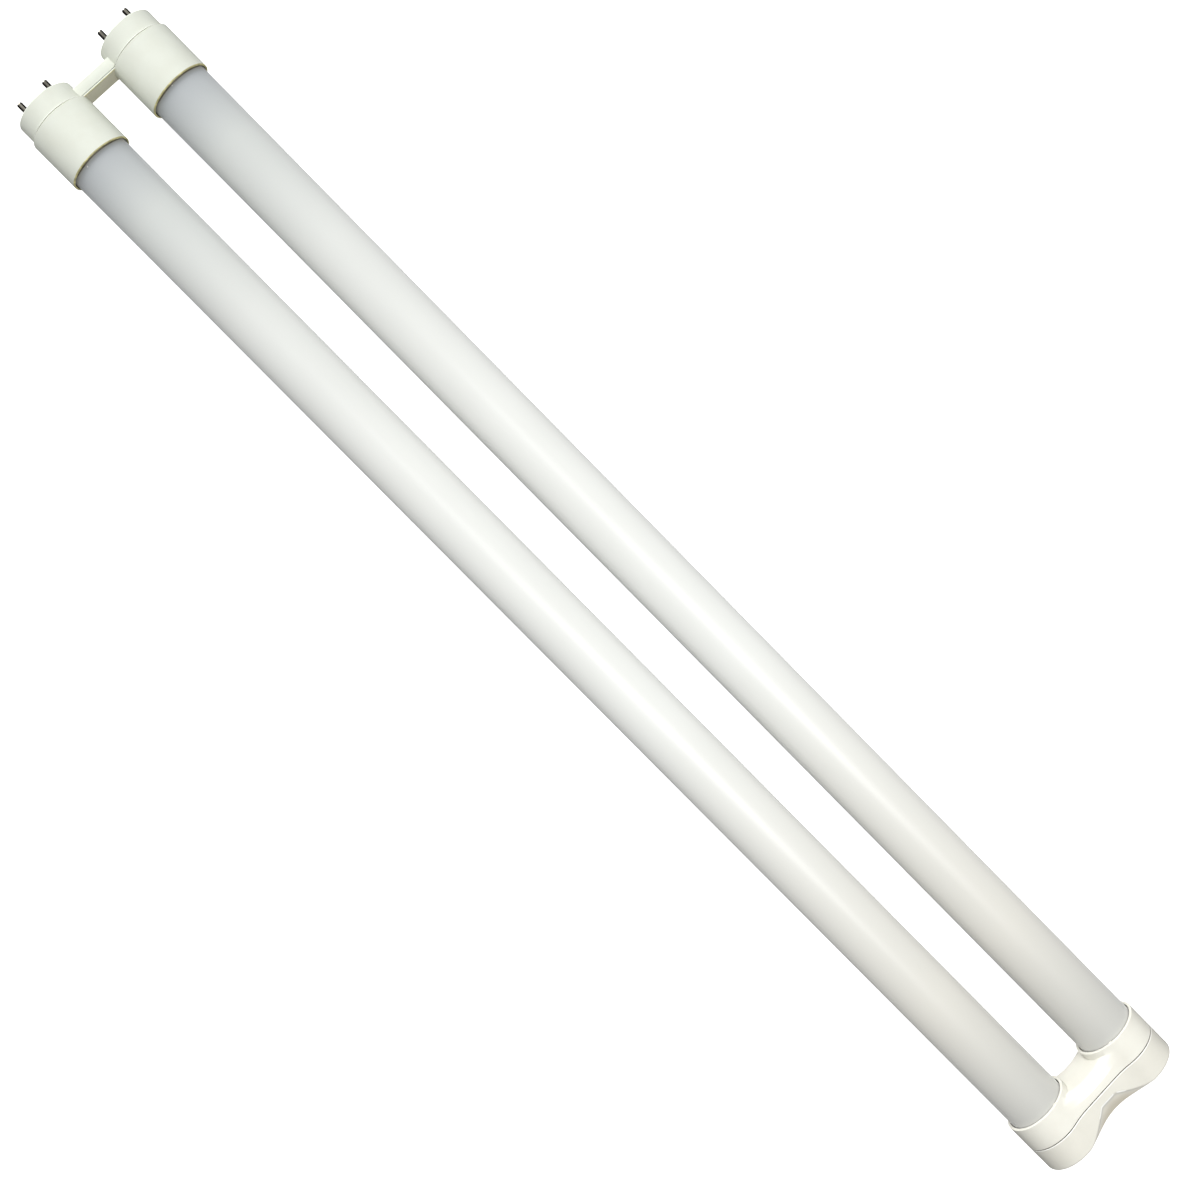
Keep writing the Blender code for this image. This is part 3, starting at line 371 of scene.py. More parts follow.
def turned(name, corners, centre_y, materials, steps, closed=True, centre_z=None, material_at=None):
    """A rounded profile swept round an axis along the lamp. An open profile starts and ends on the axis."""
    profile = rounded_profile(corners, closed)
    centre_z = AXIS_Z if centre_z is None else centre_z
    shape = bmesh.new()
    rings = []
    for radius, x in profile:
        if radius < 1e-7:
            rings.append([shape.verts.new((x, centre_y, centre_z))] * steps)
            continue
        ring = []
        for step in range(steps):
            angle = math.tau * step / steps
            ring.append(shape.verts.new((x, centre_y + radius * math.cos(angle),
                                         centre_z + radius * math.sin(angle))))
        rings.append(ring)
    pairs = list(zip(rings, rings[1:]))
    if closed:
        pairs.append((rings[-1], rings[0]))
    for first, second in pairs:
        for step in range(steps):
            after = (step + 1) % steps
            corner_verts = []
            for vert in (first[step], first[after], second[after], second[step]):
                if vert not in corner_verts:
                    corner_verts.append(vert)
            if len(corner_verts) < 3:
                continue
            face = shape.faces.new(corner_verts)
            if material_at:
                face.material_index = material_at(face.calc_center_median())
    return mesh_object(name, shape, materials)


def box(name, low, high, materials, bevel=0.0, along=None):
    """A box between two corners. Its edges, or only those along one axis, are rounded."""
    shape = bmesh.new()
    bmesh.ops.create_cube(shape, size=1)
    size = Vector(high) - Vector(low)
    bmesh.ops.scale(shape, vec=size, verts=shape.verts)
    bmesh.ops.translate(shape, vec=(Vector(high) + Vector(low)) / 2, verts=shape.verts)
    if bevel:
        edges = [e for e in shape.edges
                 if along is None or abs((e.verts[0].co - e.verts[1].co).normalized()[along]) > 0.9]
        bmesh.ops.bevel(shape, geom=edges, offset=bevel, segments=3, profile=0.5, affect="EDGES")
    return mesh_object(name, shape, materials)


def evaluated_mesh(obj):
    graph = bpy.context.evaluated_depsgraph_get()
    graph.update()
    return bpy.data.meshes.new_from_object(obj.evaluated_get(graph))


def boolean(obj, others, operation="DIFFERENCE"):
    """Cuts or joins other closed pieces, which are used up, and leaves a plain mesh."""
    for other in others:
        modifier = obj.modifiers.new(operation.lower(), "BOOLEAN")
        modifier.operation = operation
        modifier.solver = "MANIFOLD"
        modifier.object = other
        made = evaluated_mesh(obj)
        obj.modifiers.clear()
        before, obj.data = obj.data, made
        bpy.data.meshes.remove(before)
        bpy.data.objects.remove(other)
    smooth(obj)
    return obj


def finished(obj, nodes):
    """Rides the piece on the lamp, in place of its CAD nodes."""
    obj.location = (0, 0, 0)
    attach(obj, "root")
    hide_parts(*nodes)
    return obj


def arc(centre, radius, first, last, steps):
    return [(centre[0] + radius * math.cos(first + (last - first) * i / steps),
             centre[1] + radius * math.sin(first + (last - first) * i / steps)) for i in range(steps + 1)]


# ---------------------------------------------------------------- material helpers


class Finish:
    """A material under construction: its node tree and its Principled shader."""

    def __init__(self, name, roughness=0.5, metallic=0.0, **constant):
        self.material = bpy.data.materials.new(name)
        self.material.use_nodes = True
        self.tree = self.material.node_tree
        self.shader = self.tree.nodes["Principled BSDF"]
        self.shader.inputs["Roughness"].default_value = roughness
        self.shader.inputs["Metallic"].default_value = metallic
        for socket, value in constant.items():
            self.shader.inputs[socket.replace("_", " ")].default_value = value
        self.place = self.tree.nodes.new("ShaderNodeTexCoord").outputs["Object"]

    def node(self, kind, **settings):
        made = self.tree.nodes.new(kind)
        for name, value in settings.items():
            setattr(made, name, value)
        return made

    def feed(self, socket, value):
        if hasattr(value, "is_output"):
            self.tree.links.new(value, socket)
        elif value is not None:
            socket.default_value = value

    def stretched(self, scale, centre=(0, 0, 0)):
        """Object coordinates moved to a centre and multiplied along each axis."""
        mapping = self.node("ShaderNodeMapping")
        mapping.inputs["Location"].default_value = [-c * s for c, s in zip(centre, scale)]
        mapping.inputs["Scale"].default_value = scale
        self.feed(mapping.inputs["Vector"], self.place)
        return mapping.outputs["Vector"]

    def noise(self, size, detail=2.0, roughness=0.5, vector=None):
        made = self.node("ShaderNodeTexNoise")
        self.feed(made.inputs["Vector"], vector or self.place)
        made.inputs["Scale"].default_value = 1 / size
        made.inputs["Detail"].default_value = detail
        made.inputs["Roughness"].default_value = roughness
        return made.outputs["Fac"]

    def cells(self, size, vector=None, feature="F1"):
        made = self.node("ShaderNodeTexVoronoi", feature=feature)
        self.feed(made.inputs["Vector"], vector or self.place)
        made.inputs["Scale"].default_value = 1 / size
        return made.outputs["Distance"]

    def remap(self, value, low, high, to_low=0.0, to_high=1.0):
        made = self.node("ShaderNodeMapRange", clamp=True)
        self.feed(made.inputs["Value"], value)
        for name, number in (("From Min", low), ("From Max", high), ("To Min", to_low), ("To Max", to_high)):
            made.inputs[name].default_value = number
        return made.outputs["Result"]

    def math(self, operation, first, second=None):
        made = self.node("ShaderNodeMath", operation=operation)
        self.feed(made.inputs[0], first)
        self.feed(made.inputs[1], second)
        return made.outputs["Value"]

    def axis(self, name, vector=None):
        made = self.node("ShaderNodeSeparateXYZ")
        self.feed(made.inputs["Vector"], vector or self.place)
        return made.outputs[name]

    def mix(self, factor, first, second):
        made = self.node("ShaderNodeMix", data_type="RGBA")
        self.feed(made.inputs["Factor"], factor)
        for socket, value in ((made.inputs[6], first), (made.inputs[7], second)):
            self.feed(socket, value if hasattr(value, "is_output") else (*value, 1.0))
        return made.outputs[2]

    def ramp(self, factor, stops):
        made = self.node("ShaderNodeValToRGB")
        made.color_ramp.interpolation = "LINEAR"
        elements = made.color_ramp.elements
        while len(elements) < len(stops):
            elements.new(0.5)
        for element, (position, tint) in zip(elements, stops):
            element.position = position
            element.color = (*tint, 1.0)
        self.feed(made.inputs["Fac"], factor)
        return made.outputs["Color"]

    def bump(self, height, depth, strength=1.0, under=None):
        made = self.node("ShaderNodeBump")
        made.inputs["Strength"].default_value = strength
        made.inputs["Distance"].default_value = depth
        self.feed(made.inputs["Height"], height)
        self.feed(made.inputs["Normal"], under)
        return made.outputs["Normal"]

    def done(self, colour_socket=None, roughness=None, normal=None):
        self.feed(self.shader.inputs["Base Color"], colour_socket)
        self.feed(self.shader.inputs["Roughness"], roughness)
        self.feed(self.shader.inputs["Normal"], normal)
        return self.material


# ---------------------------------------------------------------- finishes


def frosted_plastic(settings):
    """Frosted diffuser with painted light and shade along it: greyer where it meets the caps at each end,
    lightest at mid length, with a painted shadow beside each collar's mouth; a fine matt grain and drawn
    streaks.
    """
    finish = Finish("frosted_polycarbonate", Sheen_Weight=settings.sheen, Sheen_Roughness=0.5, IOR=1.50,
                    Diffuse_Roughness=settings.frost)
    x = finish.axis("X")
    along = finish.remap(x, COLLAR_END, BEND_START)
    # Painted light and shade: the colour ramps from grey at each end to light at mid length.
    painted_light_tones = finish.ramp(along, [
        (0.0, settings.painted_shade_at_pins),
        (0.058, settings.painted_shade_near_pins),
        (0.16, [0.3 * a + 0.7 * b for a, b in zip(settings.painted_shade_near_pins, settings.painted_light_mid_length)]),
        (0.33, settings.painted_light_mid_length),
        (0.58, [0.97 * c for c in settings.painted_light_mid_length]),
        (0.88, settings.painted_shade_near_bend),
        (1.0, settings.painted_shade_at_bend),
    ])
    # Painted shadow beside each collar's mouth, fading out along the tube.
    shade_reach, shade_depth = 2.4 * MM, 0.75
    mouth = finish.remap(x, COLLAR_END - 0.2 * MM, COLLAR_END + shade_reach, 1.0, 0.0)
    painted_light_tones = finish.mix(finish.math("MULTIPLY", finish.math("POWER", mouth, 2.0), shade_depth), painted_light_tones,
                       settings.mouth_shade)
    clouds = finish.noise(14 * MM, detail=3.0, vector=finish.stretched((0.35, 1, 1)))
    cloudy = finish.mix(finish.remap(clouds, 0.35, 0.75, 0.0, 0.10), painted_light_tones, (0.62, 0.63, 0.60))
    grain = finish.noise(0.22 * MM, detail=2.0)
    speckled = finish.mix(finish.remap(grain, 0.55, 0.8, 0.0, 0.06), cloudy, (0.95, 0.96, 0.95))
    streaks = finish.noise(0.9 * MM, detail=2.0, vector=finish.stretched((0.012, 1, 1)))
    rough = finish.remap(streaks, 0.3, 0.7, settings.roughness - 0.04, settings.roughness + 0.05)
    relief = finish.bump(streaks, 0.02 * MM, 0.25)
    return finish.done(speckled, rough, finish.bump(grain, 0.012 * MM, 0.30, relief))


def moulded_plastic(name, base, shade, roughness, painted_highlight=None, hollow=None):
    """Moulded thermoplastic: faint clouds, flow marks along the mould and a fine eroded skin. One named
    attribute marks a painted highlight, a bright line, and another marks painted light and shade in a recess:
    lighter near its rim, browner and darker deeper down."""
    finish = Finish(name, IOR=1.50)
    clouds = finish.noise(7 * MM, detail=4.0, roughness=0.55)
    flow = finish.noise(3 * MM, detail=3.0, vector=finish.stretched((0.25, 1, 1)))
    tinted = finish.mix(finish.remap(clouds, 0.38, 0.72, 0.0, 0.45), base, shade)
    fleck = finish.noise(0.35 * MM, detail=2.0)
    flecked = finish.mix(finish.remap(fleck, 0.62, 0.8, 0.0, 0.10), tinted, [c * 0.86 for c in shade])
    # Painted light and shade in the scoop's recess: lighter near its rim, browner and darker deeper down.
    if hollow:
        depth = finish.node("ShaderNodeAttribute", attribute_name=hollow).outputs["Fac"]
        recess_light_and_shade = finish.ramp(finish.remap(depth, 0.1, 1.8), [
            (0.0, (0.98, 0.96, 0.86)), (0.5, (0.90, 0.84, 0.70)), (1.0, (0.76, 0.69, 0.53))])
        flecked = finish.mix(finish.remap(depth, 0.1, 0.5, 0.0, 0.7), flecked, recess_light_and_shade)
    # Painted highlight: a near-white line where the attribute is set.
    if painted_highlight:
        mark = finish.node("ShaderNodeAttribute", attribute_name=painted_highlight).outputs["Fac"]
        flecked = finish.mix(finish.remap(mark, 0.1, 0.8), flecked, (1.0, 1.0, 0.97))
    rough = finish.remap(flow, 0.3, 0.7, roughness - 0.05, roughness + 0.06)
    skin = finish.bump(finish.noise(0.18 * MM, detail=3.0), 0.010 * MM, 0.35)
    return finish.done(flecked, rough, finish.bump(flow, 0.05 * MM, 0.12, skin))


def rim_shade_film(settings):
    """Painted shade: a dark olive film on the collar's rim, patchy round the rim."""
    finish = Finish("painted_rim_shade", IOR=1.48)
    patches = finish.noise(2.2 * MM, detail=3.0)
    tone = finish.mix(finish.remap(patches, 0.4, 0.65), settings.rim_shade_tint,
                      [c * 1.7 for c in settings.rim_shade_tint])
    return finish.done(tone, finish.remap(patches, 0.3, 0.7, 0.30, 0.55),
                       finish.bump(patches, 0.08 * MM, 0.5))


def pin_metal(settings):
    """Nickelled brass with a painted highlight along its top and bottom; elsewhere it is dark, partly with
    tarnish and partly with painted shade.
    """
    finish = Finish("nickelled_brass", metallic=1.0)
    streaks = finish.noise(0.35 * MM, detail=3.0, vector=finish.stretched((0.06, 1, 1)))
    spots = finish.noise(0.5 * MM, detail=2.0)
    # Painted highlight: bright metal along the top and bottom of the contact, dark elsewhere.
    height = finish.math("ABSOLUTE", finish.math("SUBTRACT", finish.axis("Z"), AXIS_Z))
    top_highlight = finish.remap(height, 0.86 * settings.radius, 0.98 * settings.radius)
    streaked_highlight = finish.math("MULTIPLY", top_highlight, finish.remap(streaks, 0.30, 0.55, 0.35, 1.0))
    tone = finish.mix(streaked_highlight, settings.tarnish_and_shade, settings.metal)
    spotted = finish.mix(finish.remap(spots, 0.58, 0.75, 0.0, 0.5), tone, settings.tarnish_and_shade)
    return finish.done(spotted, finish.remap(streaks, 0.3, 0.7, 0.30, 0.16),
                       finish.bump(streaks, 0.02 * MM, 0.5))


def seal_finish(settings):
    """Set adhesive, brownish: its own colour, darkened into a painted shadow under the collar's rim; a little
    glossy, with trapped dust.
    """
    finish = Finish("set_adhesive", IOR=1.46)
    clouds = finish.noise(1.4 * MM, detail=3.0)
    tone = finish.mix(finish.remap(clouds, 0.35, 0.7), settings.bead, [c * 1.8 for c in settings.bead])
    return finish.done(tone, finish.remap(clouds, 0.3, 0.7, 0.35, 0.6), finish.bump(clouds, 0.1 * MM, 0.4))


def glue_speck(settings):
    finish = Finish("white_glue_speck", roughness=0.4)
    tone = finish.mix(finish.noise(0.1 * MM), settings.speck, [c * 0.9 for c in settings.speck])
    return finish.done(tone)


def foam(name, tint):
    """Closed-cell foam: round cells with darker walls."""
    finish = Finish(name)
    cells = finish.cells(0.35 * MM)
    tone = finish.mix(finish.remap(cells, 0.1, 0.6), tint, [c * 0.72 for c in tint])
    return finish.done(tone, finish.remap(cells, 0.0, 0.7, 0.95, 0.8), finish.bump(cells, 0.1 * MM, 0.6))


def drawn_metal(name, tint):
    """Extruded metal with drawing lines along the lamp."""
    finish = Finish(name, metallic=1.0)
    lines = finish.noise(0.25 * MM, detail=3.0, vector=finish.stretched((0.01, 1, 1)))
    tone = finish.mix(finish.remap(lines, 0.35, 0.65), [c * 0.84 for c in tint], tint)
    return finish.done(tone, finish.remap(lines, 0.3, 0.7, 0.28, 0.46), finish.bump(lines, 0.02 * MM, 0.4))


def solder_mask(settings):
    """White solder mask over copper, the traces showing as faint raised bands beside the LEDs."""
    finish = Finish("white_solder_mask", IOR=1.5)
    place = finish.stretched((1, 1, 1), (BOARD_START, 0, 0))
    bands = finish.node("ShaderNodeTexWave", wave_type="BANDS", bands_direction="Y")
    finish.feed(bands.inputs["Vector"], place)
    bands.inputs["Scale"].default_value = 160.0
    bands.inputs["Distortion"].default_value = 0.0
    trace = finish.remap(bands.outputs["Fac"], 0.45, 0.55)
    tone = finish.mix(finish.math("MULTIPLY", trace, 0.12), settings.mask, (0.62, 0.55, 0.40))
    return finish.done(tone, finish.remap(finish.noise(1.5 * MM), 0.3, 0.7, 0.38, 0.55),
                       finish.bump(trace, 0.03 * MM, 0.5))


def laminate(name, tint):
    """Glass-cloth laminate under a coloured mask: a square weave shows faintly."""
    finish = Finish(name, IOR=1.55)
    weave = finish.node("ShaderNodeTexChecker")
    finish.feed(weave.inputs["Vector"], finish.place)
    weave.inputs["Scale"].default_value = 1600.0
    cloth = finish.math("MULTIPLY", weave.outputs["Fac"], 0.18)
    tone = finish.mix(cloth, tint, [min(1.0, c * 1.8) for c in tint])
    return finish.done(tone, finish.remap(finish.noise(1.0 * MM), 0.3, 0.7, 0.35, 0.5),
                       finish.bump(weave.outputs["Fac"], 0.01 * MM, 0.3))


def resin(name, tint, roughness=0.5, grain=0.12 * MM):
    """Filled resin, sleeve or insulation: fine grain over soft clouds."""
    finish = Finish(name, IOR=1.52)
    clouds = finish.noise(2.0 * MM, detail=3.0)
    specks = finish.noise(grain, detail=2.0)
    tone = finish.mix(finish.remap(clouds, 0.3, 0.7), tint, [min(1.0, c * 1.25 + 0.01) for c in tint])
    return finish.done(tone, finish.remap(clouds, 0.3, 0.7, roughness - 0.06, roughness + 0.06),
                       finish.bump(specks, 0.02 * MM, 0.4))


def wound_tape(name, tint):
    """Layers of polyester tape, each edge a fine darker line."""
    finish = Finish(name, IOR=1.6)
    layers = finish.node("ShaderNodeTexWave", wave_type="BANDS", bands_direction="X")
    finish.feed(layers.inputs["Vector"], finish.place)
    layers.inputs["Scale"].default_value = 420.0
    layers.inputs["Distortion"].default_value = 0.6
    edge = finish.remap(layers.outputs["Fac"], 0.0, 0.25)
    tone = finish.mix(edge, [c * 0.55 for c in tint], tint)
    return finish.done(tone, finish.remap(edge, 0, 1, 0.55, 0.30), finish.bump(edge, 0.03 * MM, 0.5))


def pale_floor(settings):
    """Studio floor: pale, even and softly lit from within."""
    finish = Finish("pale_floor", roughness=0.9, Emission_Strength=settings.floor_glow,
                    Emission_Color=(1, 1, 1, 1))
    mottle = finish.noise(0.4, detail=2.0)
    tone = finish.mix(finish.remap(mottle, 0.3, 0.7), settings.floor, [c * 0.985 for c in settings.floor])
    return finish.done(tone)


# ---------------------------------------------------------------- operators


class TUBELAMP_OT_tubes(bpy.types.Operator):
    """Make the two frosted diffuser tubes"""

    bl_idname = "tube_lamp.tubes"
    bl_label = "Diffuser Tubes"
    bl_options = {"REGISTER", "UNDO"}

    def execute(self, context):
        lamp = context.scene.tube_lamp
        settings = lamp.tubes
        finish = frosted_plastic(settings)
        bore = TUBE_RADIUS - settings.wall
        edge = settings.end_round
        for side in SIDES:
            corners = [
                (TUBE_RADIUS, TUBE_END, edge),
                (TUBE_RADIUS, TUBE_START, edge),
                (bore, TUBE_START, edge),
                (bore, TUBE_END, edge),
            ]
            tube = turned("frosted_tube_" + side, corners, LEG_Y[side], [finish], settings.steps)
            finished(tube, ["diffuser_tube_" + side])
        return {"FINISHED"}


class TUBELAMP_OT_pin_caps(bpy.types.Operator):
    """Make the two pin caps, each with countersunk pin holes"""

    bl_idname = "tube_lamp.pin_caps"
    bl_label = "Pin Caps"
    bl_options = {"REGISTER", "UNDO"}

    def execute(self, context):
        lamp = context.scene.tube_lamp
        settings = lamp.caps
        finish = moulded_plastic("moulded_cap_plastic", settings.plastic, settings.plastic_shade,
                                 settings.roughness)
        # Painted highlight: a lighter copy of the cap plastic on a thin band in front of the collar.
        edge = moulded_plastic("painted_highlight_cap_edge", (0.97, 0.98, 0.95), (0.93, 0.94, 0.89), 0.3)
        nose_end = COLLAR_START - 2 * GAP
        highlight_start = nose_end - settings.highlight_band
        spigot = COLLAR_RADIUS - settings.collar_wall - settings.spigot_clearance
        spigot_bore = spigot - settings.wall
        bore = CAP_RADIUS - settings.wall
        clearance, countersink = 0.1 * MM, 0.35 * MM

        def in_highlight_band(centre):
            return 1 if highlight_start - 0.01 * MM < centre.x < nose_end - 0.02 * MM else 0

        for side in SIDES:
            corners = [
                (0, CAP_FRONT, 0),
                (CAP_RADIUS, CAP_FRONT, settings.front_round),
                (CAP_RADIUS, highlight_start, 0),
                (CAP_RADIUS, nose_end, 0.1 * MM),
                (spigot, nose_end, 0),
                (spigot, CAP_END, 0.2 * MM),
                (spigot_bore, CAP_END, 0.2 * MM),
                (spigot_bore, nose_end, 0),
                (bore, nose_end - settings.wall, 0),
                (bore, CAP_FRONT + settings.front_wall, 0),
                (0, CAP_FRONT + settings.front_wall, 0),
            ]
            cap = turned("moulded_pin_cap_" + side, corners, LEG_Y[side], [finish, edge], settings.steps,
                         closed=False, material_at=in_highlight_band)
            cutters = []
            for place in ("inner", "outer"):
                pin = middle(f"contact_pin_{side}_{place}")
                hole = lamp.pins.radius + clearance
                sink = hole + countersink
                before = CAP_FRONT - 1 * MM
                behind = CAP_FRONT + 2 * settings.front_wall
                cutters.append(turned("hole", [
                    (0, before, 0), (sink, before, 0), (sink, CAP_FRONT, 0),
                    (hole, CAP_FRONT + countersink, 0), (hole, behind, 0), (0, behind, 0),
                ], pin.y, [finish], 32, closed=False))
            boolean(cap, cutters)
            finished(cap, ["pin_cap_" + side])
        return {"FINISHED"}


class TUBELAMP_OT_collars(bpy.types.Operator):
    """Make the collars that join the caps to the tubes"""

    bl_idname = "tube_lamp.collars"
    bl_label = "Cap Collars"
    bl_options = {"REGISTER", "UNDO"}

    def execute(self, context):
        lamp = context.scene.tube_lamp
        settings = lamp.caps
        plastic = moulded_plastic("moulded_collar_plastic", settings.plastic, settings.plastic_shade,
                                  settings.roughness)
        rim_shade = rim_shade_film(settings)
        shade = resin("step_shade", tuple(settings.step_shade), 0.7)
        bore = COLLAR_RADIUS - settings.collar_wall
        ledge_bore = bore - settings.ledge_height
        ledge_end = COLLAR_START + settings.ledge_length

        # Painted shade: the rim's last band takes the dark olive film.
        rim_start = COLLAR_END - settings.rim_shade_band
        # Painted shade on part of the collar's front rounding.
        shade_start = COLLAR_START + 0.07 * settings.collar_round
        shade_end = COLLAR_START + 0.47 * settings.collar_round

        def band(centre):
            radius = math.hypot(abs(centre.y) - LEG_OFFSET, centre.z - AXIS_Z)
            edge = radius > bore and shade_start < centre.x < shade_end
            return 1 if centre.x > rim_start else 2 if edge else 0

        for side in SIDES:
            corners = [
                (COLLAR_RADIUS, COLLAR_END, 0.16 * MM),
                (COLLAR_RADIUS, rim_start, 0),
                (COLLAR_RADIUS, COLLAR_START, settings.collar_round),
                (ledge_bore, COLLAR_START, 0.2 * MM),
                (ledge_bore, ledge_end, 0.2 * MM),
                (bore, ledge_end, 0),
                (bore, COLLAR_END, 0.12 * MM),
            ]
            collar = turned("moulded_collar_" + side, corners, LEG_Y[side], [plastic, rim_shade, shade],
                            settings.steps, material_at=band)
            finished(collar, ["cap_collar_" + side])
        return {"FINISHED"}


class TUBELAMP_OT_pins(bpy.types.Operator):
    """Make the four contact pins, each with a rounded tip, a flange and a soldering tail"""

    bl_idname = "tube_lamp.pins"
    bl_label = "Contact Pins"
    bl_options = {"REGISTER", "UNDO"}

    def execute(self, context):
        lamp = context.scene.tube_lamp
        settings = lamp.pins
        finish = pin_metal(settings)
        flange_start = CAP_FRONT + lamp.caps.front_wall + GAP
        flange_end = flange_start + settings.flange
        for side in SIDES:
            for place in ("inner", "outer"):
                node = f"contact_pin_{side}_{place}"
                corners = [
                    (0, PIN_TAIL_END, 0),
                    (settings.tail_radius, PIN_TAIL_END, 0.2 * MM),
                    (settings.tail_radius, flange_end, 0.1 * MM),
                    (PIN_FLANGE_RADIUS, flange_end, 0.1 * MM),
                    (PIN_FLANGE_RADIUS, flange_start, 0.1 * MM),
                    (settings.radius, flange_start, 0.1 * MM),
                    (settings.radius, PIN_TIP, settings.tip_round),
                    (0, PIN_TIP, 0),
                ]
                pin = turned(f"nickelled_pin_{side}_{place}", corners, middle(node).y, [finish], 40,
                             closed=False)
                finished(pin, [node])
        return {"FINISHED"}


class TUBELAMP_OT_seals(bpy.types.Operator):
    """Make the adhesive bead at each collar's mouth"""

    bl_idname = "tube_lamp.seals"
    bl_label = "Seal Beads"
    bl_options = {"REGISTER", "UNDO"}

    def execute(self, context):
        lamp = context.scene.tube_lamp
        settings = lamp.seals
        finish = seal_finish(settings)
        speck = glue_speck(settings)
        tree = bead_tree()
        specks = {"left": (math.radians(-12), 0.6 * MM, 0.18 * MM),
                  "right": (math.radians(-26), 1.25 * MM, 0.30 * MM)}
        for index, side in enumerate(SIDES):
            speck_angle, speck_run, speck_radius = specks[side]
            inputs = {
                "Tube Radius": TUBE_RADIUS + 0.02 * MM,
                "Bead Height": SEAL_RADIUS - TUBE_RADIUS,
                "Reach": settings.reach,
                "Recess": settings.recess,
                "Ripple": settings.ripple,
                "Mouth": COLLAR_END,
                "Inside": COLLAR_END - SEAL_START,
                "Axis": (0.0, LEG_Y[side], AXIS_Z),
                "Seed": settings.seed + index,
                "Bead Finish": finish,
                "Speck Finish": speck,
                "Speck Angle": speck_angle,
                "Speck Run": speck_run,
                "Speck Radius": speck_radius,
            }
            bead = grown("adhesive_bead_" + side, tree, inputs)
            finished(bead, ["cap_seal_" + side])
        return {"FINISHED"}


class TUBELAMP_OT_bridge(bpy.types.Operator):
    """Make the duct between the caps and the lid that closes it"""

    bl_idname = "tube_lamp.bridge"
    bl_label = "Bridge"
    bl_options = {"REGISTER", "UNDO"}

    def execute(self, context):
        lamp = context.scene.tube_lamp
        settings = lamp.caps
        finish = moulded_plastic("moulded_bridge_plastic", settings.plastic, settings.plastic_shade,
                                 settings.roughness - 0.06)
        side_shade_finish = moulded_plastic("shaded_bridge_side", settings.duct_side_shade,
                                      [c * 0.88 for c in settings.duct_side_shade], settings.roughness)
        edge_shade_finish = rim_shade_film(settings)
        half = BRIDGE_HALF_HEIGHT
        wall = 1.0 * MM
        close = 0.04 * MM
        low, high = AXIS_Z - half, AXIS_Z + half
        duct = box("moulded_bridge_duct", (BRIDGE_START, -LEG_OFFSET, low),
                   (BRIDGE_SPLIT_FRONT, LEG_OFFSET, high), [finish, side_shade_finish], 0.18 * MM, along=1)
        lid = box("moulded_bridge_lid", (BRIDGE_SPLIT_BACK, -LEG_OFFSET, low),
                  (BRIDGE_END, LEG_OFFSET, high), [finish, side_shade_finish, edge_shade_finish], 0.20 * MM, along=1)
        # Painted shade: the lid's face towards the bend takes the shaded copy, its rounded edges the dark rim
        # film.
        for face in lid.data.polygons:
            face.material_index = 1 if face.normal.x > 0.97 else 2 if face.normal.x > 0.05 else 0
        for piece in (duct, lid):
            cutters = []
            if piece is duct:
                cutters.append(box("channel", (BRIDGE_START + wall, -2 * LEG_OFFSET, low + wall),
                                   (BRIDGE_END, 2 * LEG_OFFSET, high - wall), [finish]))
            for side in SIDES:
                for radius, start, end in (
                    (CAP_RADIUS + close, CAP_FRONT - 5 * MM, COLLAR_END),
                    (COLLAR_RADIUS + close, COLLAR_START - close, COLLAR_END),
                ):
                    cutters.append(turned("round", [(0, start, 0), (radius, start, 0), (radius, end, 0),
                                                    (0, end, 0)], LEG_Y[side], [finish], 96, closed=False))
            boolean(piece, cutters)
        finished(duct, ["bridge_duct"])
        finished(lid, ["bridge_lid"])
        return {"FINISHED"}


